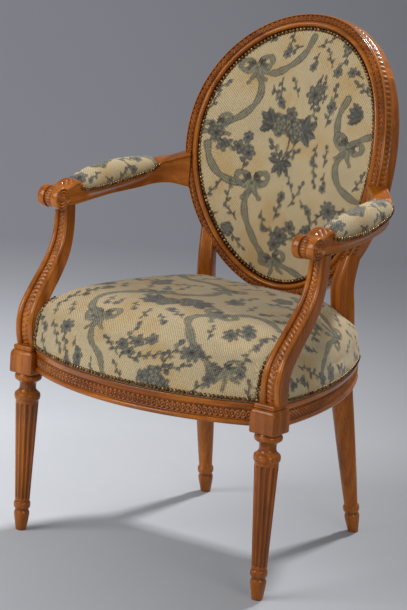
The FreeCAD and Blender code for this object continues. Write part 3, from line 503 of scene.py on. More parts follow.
def railSection():
    # offset from the rail's outer arc, height, and place across the carved band or nothing
    low, high = railLook["bandLow"], railLook["bandHigh"]
    below = [(-26, 295.3), (-25.5, 295), (-4.2, 295), (-2.4, 295.5), (-0.9, 296.7), (-0.1, 298.4), (0, 300),
             (-0.5, 302), (-1.6, 303.4), (-3.2, 304.2)]
    band = [(-2.0, low + (high - low) * (t + 1) / 2, t) for t in np.linspace(-1, 1, 20)]
    above = [(-3.4, 322.8), (-2.4, 323.8), (-1.9, 326), (-1.3, 328.5), (-0.5, 330.6), (0, 332), (-0.1, 333.2),
             (-0.9, 334.1), (-3.2, 334.4), (-3.6, 335), (-3.6, 349.5), (-4.2, 350), (-25.5, 350),
             (-26, 349.5)]
    return [(*row, None) for row in below] + band + [(*row, None) for row in above]


def sweptRail(centre, radius, start, end, spacing=1.15):
    turns = np.linspace(start, end, max(8, int(abs(end - start) * radius / spacing)))
    steps = np.ones(len(turns))
    offsets, hollows, heights = [], [], []
    for out, z, across in railSection():
        # hollow: painted shade and dirt in the sunk band and the carving's low parts, painted highlight and
        # wear elsewhere
        if across is None:
            offsets.append(out * steps)
            hollows.append((0.75 if out < -2.8 and 303 < z < 324 else -0.12) * steps)
        else:
            high = guilloche(turns * radius, across * steps, railLook["pitch"])
            offsets.append(out - 1.5 + railLook["relief"] * high)
            hollows.append(0.95 - 1.25 * high)
        heights.append(z)
    out = np.array(offsets).T + radius
    rings = np.stack([centre[0] + out * np.cos(turns)[:, None], centre[1] + out * np.sin(turns)[:, None],
                      np.broadcast_to(np.array(heights)[None, :], out.shape)], -1)
    return rings, np.array(hollows).T


# The oval back

backLook = {"centreY": 211, "centreZ": 670, "halfWidth": 182, "halfHeight": 229, "egg": 0.084, "lean": 9.9,
            "dish": 385, "crown": 24, "bandPitch": 9.2, "relief": 2.0, "round": 1450, "spacing": 1.25}
leanSin, leanCos = math.sin(math.radians(backLook["lean"])), math.cos(math.radians(backLook["lean"]))


def backNormal(x):
    slope = x / np.sqrt(backLook["dish"] ** 2 - x ** 2)
    normal = np.stack([slope, np.full_like(slope, leanCos), np.full_like(slope, -leanSin)], -1)
    return normal / np.linalg.norm(normal, axis=-1, keepdims=True)


def backPoint(x, along, depth=0.0):
    # a place on the dished back: across, up from the oval's middle, behind the nailed face
    x, along = np.asarray(x, float), np.asarray(along, float)
    dish = (backLook["dish"] - np.sqrt(backLook["dish"] ** 2 - x ** 2)) / leanCos
    y, z = backLook["centreY"] + along * leanSin - dish, backLook["centreZ"] + along * leanCos
    return np.stack([x, y, z], -1) + backNormal(x) * np.asarray(depth, float)[..., None]


def nailOval(turns, grow=0.0):
    sine, cosine = np.sin(turns), np.cos(turns)
    width, height, egg = backLook["halfWidth"], backLook["halfHeight"], backLook["egg"]
    line = np.stack([width * (1 + egg * sine) * cosine, height * sine], -1)
    tangent = np.stack([width * (egg * cosine ** 2 - (1 + egg * sine) * sine), height * cosine], -1)
    outward = np.stack([tangent[..., 1], -tangent[..., 0]], -1)
    outward /= np.linalg.norm(outward, axis=-1, keepdims=True)
    return line + outward * grow


def ovalFrame(start, end):
    # a stretch of the frame: hollow for the padding, smooth moulding, carved band, plain edge and back
    look = backLook
    count = max(12, int(abs(end - start) / 360 * look["round"] / look["spacing"]))
    turns = np.radians(np.linspace(start, end, count))
    line, beside = nailOval(turns), nailOval(turns, 1.0)
    origin = backPoint(line[:, 0], line[:, 1])
    outward = backPoint(beside[:, 0], beside[:, 1]) - origin
    outward /= np.linalg.norm(outward, axis=1, keepdims=True)
    behind = backNormal(line[:, 0])
    whole = np.radians(np.linspace(0, 360, 2881))
    along = np.interp(turns % (2 * math.pi), whole, lengthsAlong(nailOval(whole, 19)))
    steps = np.ones(count)
    rings, hollows = [], []

    def add(out, depth, hollow):
        # each a number, or one for every step round the oval
        rings.append(origin + outward * (out * steps)[:, None] + behind * (depth * steps)[:, None])
        hollows.append(hollow * steps)

    # the last number: painted shade and dirt where positive, as next to the padding and in the carving;
    # painted highlight and wear where negative
    moulding = [(3 + 10 * k / 9, 0.4 - 5.0 * math.sin(math.pi * k / 9) ** 0.85, -0.15) for k in range(1, 9)]
    for row in [(-12, 5, 0.4), (2.6, 5, 0.8), (3.0, 1.2, 0.8)] + moulding + [(13.0, 0.9, 0.8)]:
        add(*row)
    for t in np.linspace(-1, 1, 15):
        high = guilloche(along, t * steps, look["bandPitch"])
        add(13.6 + 10.8 * (t + 1) / 2, -0.2 + (t + 1) ** 2 + 1.2 - look["relief"] * high, 0.95 - 1.25 * high)
    for row in [(24.8, 5.2, 0.7), (25.4, 5.0, -0.4), (26.2, 5.8, -0.7), (26.5, 7.2, -0.6), (26.3, 8.2, 0.4)]:
        add(*row)
    # short flutes on the outer side
    flute = np.clip(np.abs(np.sin(math.pi * along / look["bandPitch"])) * 1.5 - 0.35, 0, 1)
    for t in np.linspace(-1, 1, 11):
        sunk = flute * (1 - t ** 6)
        add(26.2 - 0.9 * sunk, 8.6 + 10.4 * (t + 1) / 2, 0.9 * sunk - 0.35)
    for row in [(26.3, 19.6, 0.4), (26.5, 20.4, -0.5), (26.2, 21.6, -0.3), (26, 31, 0), (25, 34.5, 0),
                (22.6, 37, 0), (19.5, 38, 0), (3, 38, 0), (2, 37.2, 0), (2, 35.5, 0.5), (-12, 35.5, 0.5)]:
        add(*row)
    return np.array(rings).transpose(1, 0, 2), np.array(hollows).T


def buildRearPost():
    post = Shape()
    # the splayed leg
    foot, head = np.array([166.0, 233, 0]), np.array([149.0, 176, 295])
    axis = (head - foot) / np.linalg.norm(head - foot)
    sideways = np.cross(axis, (0, 1, 0))
    sideways /= np.linalg.norm(sideways)
    other = np.cross(axis, sideways)
    profile = [(-4, 9.0)] + footProfile(1)[1:]
    profile += [(100, 14.6), (160, 17.0), (230, 19.3), (296, 21.0), (306, 21.0)]
    turned = turnedGrid(profile, 72)
    rings = foot + turned[..., :1] * sideways + turned[..., 1:2] * other + turned[..., 2:] * axis
    rings[..., 2] = np.maximum(rings[..., 2], 0)
    post.grid(rings, footHollow(profile))
    # the square at the seat, with the rail's moulding carried over it
    post.grid(stack([(295, 20.5, 20.5, 3), (296, 21.8, 21.5, 3), (347, 21.8, 21.5, 3), (350, 20.5, 20.2, 3)],
                    (149.5, 177.5)))
    post.grid(*sweptRail(*sideArc, sideTurn(156), sideTurn(196)))
    # the stile up to the oval: place, width, depth, turn
    rows = smoothRows([(149, 176, 345, 37, 41, 6), (149, 172.5, 366, 33.5, 40, 10),
                       (149, 169, 385, 31, 39, 14), (149, 165, 425, 29, 38, 20),
                       (148, 162.5, 470, 28, 36, 22), (*backPoint(148, -148, 19), 24, 30, 22)], 40)
    stile = []
    for x, y, z, width, depth, turn in rows:
        a, b = roundedPlan(width / 2, depth / 2, 6).T
        swing = math.radians(-turn)
        stile.append(np.column_stack([x + a * math.cos(swing) - b * math.sin(swing),
                                      y + a * math.sin(swing) + b * math.cos(swing), np.full(len(a), z)]))
    return post.grid(stile).grid(*ovalFrame(-58, 42))


# Arm supports and arms

supportLook = {"relief": 1.8, "pitch": 8.2, "bead": 0.28, "bulge": 3.4, "base": 338, "rise": 236}
supportRun = [
    # height, middle, depth, lean
    (337, -199, 29, 0), (358, -201.5, 33, 0), (380, -201, 34, 10), (402, -194, 33, 27), (432, -171, 31, 41),
    (462, -144.5, 30, 38), (488, -126, 29, 27), (512, -115, 27, 14), (540, -109, 26, 5), (577, -107, 26, 0)]


def twistedRibbon(along, across, pitch):
    # a ribbon wound round a rod; 0 low to 1 high
    phase = (along / pitch + 0.32 * across) % 1 - 0.5
    turn = np.exp(-(phase / 0.26) ** 2)
    pearl = np.sqrt(np.clip(1 - ((np.abs(phase) - 0.5) / 0.16) ** 2 - (across / 0.3) ** 2, 0, 1))
    return np.maximum(turn * np.sqrt(np.clip(1 - across ** 2, 0, 1)), pearl * 0.9)


def buildSupport():
    look = supportLook
    rows = smoothRows(supportRun, 210)
    bulge, band = np.linspace(0, math.pi, 9), np.linspace(1, -1, 13)
    rings, hollows = [], []
    for (z, middle, depth, lean), length in zip(rows, lengthsAlong(rows[:, :2])):
        share = (z - look["base"]) / look["rise"]
        centre, width = 259.5 + 10 * share, 38 - 10 * share
        halfW, halfD = width / 2, depth / 2
        beadWide = look["bead"] * width
        front = 3 - halfD
        beadX = halfW - beadWide * (1 - np.cos(bulge)) / 2
        beadY = front - look["bulge"] * np.sin(bulge) ** 0.9
        high = twistedRibbon(np.full(len(band), length), band, look["pitch"])
        bandX = band * (halfW - beadWide - 0.6)
        bandY = front + 1.6 - look["relief"] * high
        xs = np.r_[beadX, bandX, -beadX[::-1], -halfW, -halfW, 1.2 - halfW, 4.5 - halfW,
                   halfW - 4.5, halfW - 1.2, halfW, halfW]
        ys = np.r_[beadY, bandY, beadY[::-1], front + 3, halfD - 4.5, halfD - 1.2, halfD,
                   halfD, halfD - 1.2, halfD - 4.5, front + 3]
        # painted shade and dirt beside the beads and low in the carving, painted highlight and wear on the
        # beads
        beadHollow = [0.6] + [-0.2] * 7 + [0.6]
        tilt = math.radians(-lean)
        rings.append(np.column_stack([centre + xs, middle + ys * math.cos(tilt), z + ys * math.sin(tilt)]))
        hollows.append(np.r_[beadHollow, 0.5 - 0.95 * high, beadHollow, [0] * 8])
    return Shape().grid(rings, hollows)


armRun = [
    # x, y, underside, top, half width below, half width above
    (268, -146, 577, 606, 16, 18), (267.5, -128, 576, 609.5, 16, 18), (266.8, -112, 575.5, 614.5, 16, 18.5),
    (266.5, -97, 575, 617.5, 16, 19), (267.4, -85, 575.6, 607, 16, 20), (268.2, -72, 576.4, 599, 16, 21.3),
    (269, -41, 579, 598, 16, 21.5), (268, 0, 582.5, 601, 16, 21.5), (263, 36, 585.5, 606, 16, 21.5),
    (256, 75, 589, 613, 16, 21), (250, 97, 592.4, 620, 16, 20), (244.5, 110, 594.2, 631, 16, 19),
    (239, 121, 595, 638.5, 16, 18), (226, 139, 595, 643, 16, 17), (214, 151, 592, 648, 17, 17.5),
    (202, 162, 589, 653, 18, 18)]
scrollLook = {"x": 268, "y": -144, "z": 592, "radius": 19.5, "half": 22}


def armGrid():
    rows = smoothRows(armRun, 230)
    direction = np.gradient(rows[:, :2], axis=0)
    direction /= np.linalg.norm(direction, axis=1, keepdims=True)
    top = np.linspace(1, -1, 19)
    # painted shade and dirt under the lip and between the leaf's ribs, painted highlight and wear on the lip
    # and the ribs
    sideHollow = [0] * 9 + [0.5] + [-0.3] * 5 + [0.2]
    rings, hollows = [], []
    for (x, y, low, high, halfLow, halfHigh), (dx, dy) in zip(rows, direction):
        lip = min(6.5, (high - low) / 3)
        tall, wider = high - lip - low - 4.5, halfHigh - 1 - halfLow
        side = [(-halfLow + 5, low), (halfLow - 5, low), (halfLow - 1.5, low + 1.2), (halfLow, low + 4.5)]
        side += [(halfLow + wider * t ** 2.2, low + 4.5 + tall * t) for t in (k / 6 for k in range(1, 6))]
        side += [(halfHigh - 0.9, high - lip + 0.4)]
        side += [(halfHigh - 0.9 + 1.6 * math.sin(math.pi * k / 6), high - lip + 0.4 + (lip - 1) * k / 6)
                 for k in range(1, 6)]
        side += [(halfHigh - 1.4, high - 0.4)]
        # a leaf over the support and a split tail behind the pad
        leaf = np.clip((y + 136) / 14, 0, 1) * np.clip((-88 - y) / 10, 0, 1) * (1 - top ** 4)
        vein = np.exp(-(top / 0.1) ** 2)
        ribs = 0.5 + 0.5 * np.cos(2 * math.pi * ((y + 136) / 11.5 + 1.5 * np.abs(top)))
        tail = np.clip((y - 122) / 8, 0, 1) * np.clip((196 - y) / 10, 0, 1)
        topHeight = high + 1.6 * (1 - top ** 2) + leaf * (1.9 * ribs + 1.1 * vein - 0.6)
        topHeight -= tail * 0.8 * np.exp(-((np.abs(top) - 0.62) / 0.09) ** 2)
        us = np.r_[[u for u, z in side], top * (halfHigh - 1.6), [-u for u, z in side[:1:-1]]]
        zs = np.r_[[z for u, z in side], topHeight, [z for u, z in side[:1:-1]]]
        rings.append(np.column_stack([x + dy * us, y - dx * us, zs]))
        hollows.append(np.r_[sideHollow, leaf * (0.75 - 1.1 * ribs), sideHollow[:1:-1]])
    return rings, hollows


def scrollGrid():
    # a roll across the arm's end: two thick rolls with a carved bead between, a volute at each side
    look = scrollLook
    half = look["half"]
    turns = np.linspace(0, 2 * math.pi, 120, endpoint=False)
    rows = [("side", half, rho) for rho in np.linspace(0.05, 17.6, 34)]
    rows += [("rim", half - 0.3, 18.4), ("rim", half - 1.2, 19.2)]
    rows += [("roll", x, look["radius"] - 0.5 + 0.9 * math.sin(math.pi * (half - x) / (half - 7)))
             for x in np.linspace(half - 2.2, 8.2, 8)]
    rows += [("groove", 7.4, 16.6), ("groove", 6.8, 16.4)]
    rows += [("bead", x, 17.0 + 1.9 * math.cos(math.pi * x / 13)) for x in np.linspace(6, 0, 6)]
    rows += [(kind, -x, rho) for kind, x, rho in rows[-2::-1]]
    rings, hollows = [], []
    for kind, x, rho in rows:
        out, raised = rho, 0 * turns
        # painted shade and dirt in the grooves, painted highlight and wear on the rims and rolls
        hollow = {"side": -0.1, "rim": -0.3, "roll": -0.1, "groove": 0.9, "bead": 0.2}[kind] + 0 * turns
        if kind == "side":
            spiral = np.min([np.abs(rho - (18.0 - 5.2 * (((turns + 2.2) / (2 * math.pi)) % 1 + k)))
                             for k in range(3)], axis=0)
            groove = np.exp(-(spiral / 1.25) ** 2) * (rho > 4.8)
            raised = 1.5 * math.sqrt(max(0, 1 - (rho / 4.6) ** 2)) - 1.9 * groove
            hollow = groove * 0.95 - 0.1
        if kind == "bead":
            nick = 0.5 + 0.5 * np.cos(turns * 22)
            out = rho - 1.3 * (1 - nick) * (1 - abs(x) / 12)
            hollow = 0.7 - 0.9 * nick
        rings.append(np.column_stack([look["x"] + x + (1 if x >= 0 else -1) * raised,
                                      look["y"] + out * np.cos(turns), look["z"] + out * np.sin(turns)]))
        hollows.append(hollow)
    return rings, hollows


makePair("frontLeg", buildFrontLeg(), beech, ["front_leg"])
makePair("rearPost", buildRearPost(), beech, ["rear_post"])
makePair("armSupport", buildSupport(), beech, ["arm_support"])
makePair("arm", Shape().grid(*armGrid()).grid(*scrollGrid()), beech, ["arm"], "y")
frontReach = math.asin(232.5 / frontArc[1])
frontRail = sweptRail(*frontArc, -math.pi / 2 - frontReach, -math.pi / 2 + frontReach)
makePiece("frontRail", Shape().grid(*frontRail), beech, ["front_rail"], "x")
sideRail = sweptRail(*sideArc, sideTurn(-181), sideTurn(156.2))
makePair("sideRail", Shape().grid(*sideRail), beech, ["side_rail"], "y")
makePiece("crestRail", Shape().grid(*ovalFrame(42, 138)), beech, ["crest_rail"], "x")
makePiece("lowerBackRail", Shape().grid(*ovalFrame(-122, -58)), beech, ["lower_back_rail"], "x")
# drawn upright, then laid between the rear posts
backRail = stack([(-128.5, 27, 11.6, 1.5), (128.5, 27, 11.6, 1.5)])
backRail = np.stack([backRail[..., 2], backRail[..., 1] + 184, backRail[..., 0] + 322.5], -1)
makePiece("backRail", Shape().grid(backRail), beech, ["back_rail"], "x")
print("wood built")


# Needlework: ribbons, bows, roses, small flowers and sprigs, worked into the covers

yarns = {"slate": rgb(72, 82, 86), "dark": rgb(36, 42, 48), "pale": rgb(158, 156, 136),
         "green": rgb(146, 146, 122), "blue": rgb(80, 90, 100)}
motifGrowth = 1.38


class Needlework:
    # colours worked over the ground at each point of a cover, in millimetres of flat cloth
    def __init__(self, flat):
        self.cloth = np.asarray(flat, float)
        self.chance = np.random.default_rng(7)
        self.flat = self.cloth + self.chance.normal(0, 0.55, self.cloth.shape)
        self.worked = np.zeros(len(self.flat))
        self.yarn = np.tile(np.array(yarns["slate"]), (len(self.flat), 1))

    def near(self, centre, reach):
        return np.nonzero((np.abs(self.flat - centre) < reach).all(axis=1))[0]

    def beside(self, line, reach):
        low, high = line.min(0) - reach, line.max(0) + reach
        return np.nonzero(((self.flat > low) & (self.flat < high)).all(axis=1))[0]

    def lay(self, chosen, weight, tone):
        weight = np.clip(weight, 0, 1)
        kept = self.worked[chosen] * (1 - weight)
        total = np.maximum(kept + weight, 1e-6)
        mixed = self.yarn[chosen] * kept[:, None] + np.array(yarns[tone]) * weight[:, None]
        self.yarn[chosen] = mixed / total[:, None]
        self.worked[chosen] = np.minimum(total, 1) * (kept + weight > 1e-5)

    def distance(self, line, chosen):
        # how far each point is from the line, and how far along it
        place = self.flat[chosen]
        best = np.full(len(chosen), 1e9)
        where = np.zeros(len(chosen))
        walked = 0.0
        for start, end in zip(line[:-1], line[1:]):
            run = end - start
            length = max(np.linalg.norm(run), 1e-6)
            t = np.clip(((place - start) @ run) / length ** 2, 0, 1)
            gap = np.linalg.norm(place - start - t[:, None] * run, axis=1)
            closer = gap < best
            best[closer], where[closer] = gap[closer], walked + t[closer] * length
            walked += length
        return best, where

    def stem(self, points, width=1.5):
        line = smoothRows(points, 14)
        chosen = self.beside(line, 4)
        gap = self.distance(line, chosen)[0]
        self.lay(chosen, np.clip((width - gap) / 0.9 + 0.5, 0, 1) * 0.9, "dark")

    def ribbon(self, points, width=7.4, turnEvery=46.0):
        line = smoothRows(points, 30)
        chosen = self.beside(line, 9)
        gap, where = self.distance(line, chosen)
        share = gap / (width * (0.66 + 0.34 * np.abs(np.cos(math.pi * where / turnEvery))))
        self.lay(chosen, np.clip((1.0 - share) * 3.2, 0, 1) * 0.86, "green")
        edge = np.exp(-((share - 0.8) / 0.17) ** 2)
        middle = np.exp(-(share / 0.16) ** 2) * 0.75
        shade = (0.5 + 0.5 * np.sin(where / 3.3)) * 0.3 * (share < 0.75)
        self.lay(chosen, np.maximum(np.maximum(edge, middle), shade) * (share < 1.05) * 0.95, "slate")
        self.lay(chosen, np.exp(-((share - 0.95) / 0.1) ** 2) * 0.5, "dark")

    def leaf(self, root, angle, length, width, tone="slate"):
        length, width = length * motifGrowth, width * motifGrowth * 1.15
        root = np.array(root, float)
        along = np.array([math.cos(angle), math.sin(angle)])
        chosen = self.near(root + along * length / 2, length / 2 + width)
        place = self.flat[chosen] - root
        a, b = place @ along / length, place @ np.array([-along[1], along[0]])
        half = width / 2 * np.sin(math.pi * np.clip(a, 0, 1)) ** 0.7 * (1 + 0.14 * np.cos(a * 26))
        inside = np.clip((half - np.abs(b)) / 0.8 + 0.4, 0, 1) * (a > 0) * (a < 1)
        self.lay(chosen, inside * 0.95, tone)
        self.lay(chosen, inside * (b > 0) * 0.5, "dark")
        self.lay(chosen, inside * np.exp(-(b / 0.6) ** 2) * 0.6, "pale")

    def bloom(self, centre, radius, reach, turn):
        # the points of a round motif, how far out each is, and its turn
        chosen = self.near(np.array(centre, float), radius * reach)
        place = self.flat[chosen] - centre
        return chosen, np.linalg.norm(place, axis=1) / radius, np.arctan2(place[:, 1], place[:, 0]) + turn

    def flower(self, centre, radius, petals=6, tone="blue", turn=0.0):
        radius *= motifGrowth
        chosen, r, around = self.bloom(centre, radius, 1.15, turn)
        lobe = np.abs(np.cos(petals * around / 2))
        inside = np.clip((0.58 + 0.42 * lobe ** 0.7 - r) * radius / 0.9 + 0.4, 0, 1)
        self.lay(chosen, inside * 0.92, tone)
        self.lay(chosen, inside * (1 - lobe) ** 2 * 0.8, "dark")
        self.lay(chosen, inside * np.exp(-((r - 0.55) / 0.16) ** 2) * lobe * 0.55, "pale")
        self.lay(chosen, np.clip((0.24 - r) * 8, 0, 1), "dark")

    def rose(self, centre, radius, turn=0.0):
        radius *= motifGrowth
        chosen, r, around = self.bloom(centre, radius, 1.2, turn)
        edge = 0.9 + 0.1 * np.cos(5 * around)
        inside = np.clip((edge - r) * radius / 0.9 + 0.4, 0, 1)
        petals = sum(np.exp(-((r - ring - 0.07 * np.cos(5 * around + 2 * ring * 5)) / 0.075) ** 2)
                     for ring in (0.34, 0.6, 0.82))
        self.lay(chosen, inside * 0.95, "pale")
        self.lay(chosen, inside * np.clip(0.28 + petals, 0, 1) * 0.85, "slate")
        self.lay(chosen, inside * np.clip(petals - 0.55, 0, 1), "dark")
        self.lay(chosen, inside * np.clip((r - edge + 0.13) * 9, 0, 1) * 0.7, "dark")
        self.lay(chosen, np.clip((0.2 - r) * 8, 0, 1) * 0.8, "dark")

    def sprig(self, root, angle, length, leaves=5, size=9.0, bloom=None):
        # a bending stem with leaves on both sides and a bud or flower at its end
        steps = [np.array(root, float)]
        heading = angle
        for k in range(4):
            heading += 0.16 * (1 if k % 2 else -0.6)
            steps.append(steps[-1] + length / 4 * np.array([math.cos(heading), math.sin(heading)]))
        self.stem(steps)
        line = smoothRows(steps, 40)
        for k in range(leaves):
            share = (k + 0.8) / (leaves + 0.6)
            side = 1 if k % 2 else -1
            self.leaf(line[int(share * 39)], heading + side * (0.85 - 0.25 * share),
                      size * (1.1 - 0.4 * share), size * 0.46, ("slate", "blue", "green")[k % 3])
        if bloom == "bud":
            self.leaf(steps[-1], heading, size * 0.9, size * 0.6, "blue")
        elif bloom:
            self.flower(steps[-1], bloom, 6, "blue", angle)
        else:
            self.leaf(steps[-1], heading, size, size * 0.42)

    def bow(self, centre, size, angle=0.0):
        # two loops, a knot and two short tails
        centre = np.array(centre, float)

        def at(x, y):
            return centre + size * np.array([x * math.cos(angle) - y * math.sin(angle),
                                             x * math.sin(angle) + y * math.cos(angle)])

        for side in (1, -1):
            self.ribbon([at(0, 0), at(side * 0.42, 0.5), at(side * 0.95, 0.62), at(side * 1.12, 0.2),
                         at(side * 0.7, -0.1), at(0, 0)], size * 0.21, 20)
            self.ribbon([at(0, 0), at(side * 0.25, -0.55), at(side * 0.62, -0.95)], size * 0.17, 18)
            for lean in (0.3, 0.85, 1.5, 2.2, 2.8):
                self.leaf(at(side * 0.12, 0.05), angle + math.pi / 2 - side * lean, size * 0.5, size * 0.2,
                          ("dark", "slate", "pale")[int(lean)])
        self.flower(centre, size * 0.24, 4, "green", angle)

    def many(self, motif, *each):
        for settings in each:
            motif(*settings)

    def fillIn(self, apart=33, reach=17):
        # small sprigs where the ground is still bare
        low, high = self.cloth.min(0), self.cloth.max(0)
        for x in np.arange(low[0] + 8, high[0], apart):
            for y in np.arange(low[1] + 8, high[1], apart):
                spot = np.array([x, y]) + self.chance.uniform(-9, 9, 2)
                around = self.near(spot, reach)
                kind = self.chance.integers(0, 4)
                if len(around) < 60 or self.worked[around].mean() > 0.06:
                    continue
                turn = self.chance.uniform(0.6, 2.5) * (1 if kind % 2 else -1)
                root = spot - 13 * np.array([math.cos(turn), math.sin(turn)])
                self.sprig(root, turn, 27 + 3 * kind, 3 + kind // 2, 8, (6.5, "bud", 5.5, None)[kind])

    def keepTo(self, mesh, rim):
        worked = self.worked * self.chance.uniform(0.82, 1.0, len(self.worked))
        tone = self.yarn * self.chance.uniform(0.7, 1.25, (len(self.yarn), 1))
        keepValues(mesh, "worked", "FLOAT", worked)
        keepValues(mesh, "yarn", "FLOAT_COLOR", np.column_stack([tone, np.ones(len(tone))]))
        keepValues(mesh, "rim", "FLOAT", rim)
        keepValues(mesh, "cloth", "FLOAT_VECTOR", np.column_stack([self.cloth / 1000, np.zeros(len(tone))]))


def workBack(work):
    # x to the chair's left-hand side as it faces out of the picture, y up the back
    work.many(work.ribbon, ([(-100, 142), (-84, 112), (-88, 84), (-112, 58), (-146, 40)],),
              ([(-98, 147), (-66, 140), (-34, 158), (-12, 182), (-2, 214)],))
    work.bow((-102, 147), 27, 0.25)
    work.many(work.ribbon, ([(-70, -62), (-104, -63), (-138, -52), (-160, -26), (-168, 2)],),
              ([(-72, -68), (-80, -98), (-72, -132), (-50, -168), (-26, -196)],))
    work.bow((-70, -60), 29, 0.05)
    work.many(work.ribbon, ([(128, 30), (106, 46), (100, 84), (110, 116)],),
              ([(126, 26), (112, -6), (124, -36), (152, -52), (182, -58)],))
    work.bow((130, 32), 27, -0.2)
    work.ribbon([(132, 36), (156, 52), (182, 66)], 6.0)
    work.bow((-10, -196), 24, 0.3)
    work.ribbon([(-4, -196), (30, -206), (60, -216)], 6.0)
    work.many(work.rose, ((-30, 50), 17, 0.4), ((8, 44), 19, 1.6))
    work.flower((-10, 72), 10, 5, "slate")
    for angle, length, width in ((2.6, 26, 12), (2.1, 24, 10), (-2.7, 24, 11), (3.1, 20, 9)):
        work.leaf((-42, 50), angle, length, width)
    for angle, length, width in ((0.5, 27, 12), (-0.2, 25, 11), (1.2, 25, 11), (-0.9, 24, 10)):
        work.leaf((22, 44), angle, length, width, "blue")
    work.many(work.stem, ([(-4, 32), (-6, 8), (-16, -16)],), ([(-16, -16), (2, 6), (14, 26)],))
    work.many(work.sprig, ((-16, -16), 0.55, 36, 4, 12), ((-16, -16), 2.2, 34, 4, 13))
    for angle in (-0.1, -0.8, -1.5, -2.2, 3.0):
        work.leaf((-16, -16), angle, 20, 8)
    work.bow((-154, 34), 24, 0.5)
    work.many(work.flower, ((-155, 22), 12, 6, "slate"), ((-140, 2), 10, 5, "blue"))
    work.many(work.sprig, ((-146, 12), -0.4, 46, 5, 11, "bud"), ((-94, -40), 1.5, 62, 7, 11, 8))
    work.many(work.flower, ((-86, -8), 11, 6), ((-108, 2), 10, 5, "slate"), ((-92, 20), 8, 5))
    work.many(work.sprig, ((-60, 118), -0.9, 40, 5, 10, "bud"), ((-44, 134), -1.4, 46, 4, 9, 7),
              ((40, 150), -1.45, 56, 5, 10, "bud"), ((56, 100), 1.7, 40, 4, 9))
    work.flower((34, 112), 15, 7, "slate", 0.3)
    work.sprig((34, 100), -1.2, 34, 4, 9)
    work.flower((78, 96), 9, 6)
    work.many(work.sprig, ((74, 60), 1.5, 70, 8, 10, "bud"), ((84, 202), -1.9, 46, 4, 11, 8))
    work.flower((76, 208), 10, 6, "slate")
    for angle in (2.5, 2.9, 3.3, 3.7):
        work.leaf((150, 92), angle, 25, 9, "slate")
    work.many(work.sprig, ((150, 130), 2.6, 32, 4, 10), ((126, 158), 2.9, 26, 2, 9, 8),
              ((16, -92), 1.0, 48, 4, 9, "bud"), ((-14, -120), 1.3, 46, 5, 10, 7))
    work.many(work.flower, ((4, -146), 13, 6), ((24, -128), 10, 5, "slate"), ((-8, -164), 11, 6, "slate"))
    work.many(work.sprig, ((2, -160), 0.5, 52, 5, 10, "bud"), ((0, -150), 2.7, 30, 4, 9))
    work.flower((108, -84), 14, 9, "blue")
    work.many(work.sprig, ((96, -92), -2.4, 44, 4, 9), ((120, -80), 0.1, 34, 3, 8))
    work.flower((62, -128), 9, 5, "slate")
    work.many(work.sprig, ((70, -150), 1.6, 40, 3, 9, "bud"), ((-120, -108), 1.4, 42, 3, 9, "bud"))
    work.rose((-112, -150), 11)
    work.sprig((-104, -154), -0.8, 34, 3, 9)
    work.flower((92, -160), 11, 6)
    work.many(work.sprig, ((60, 8), -1.4, 50, 5, 9, "bud"), ((-176, 96), 0.6, 30, 3, 9, "bud"),
              ((150, -96), -2.2, 40, 4, 9, 7), ((-20, 196), -2.6, 34, 3, 9, 7))


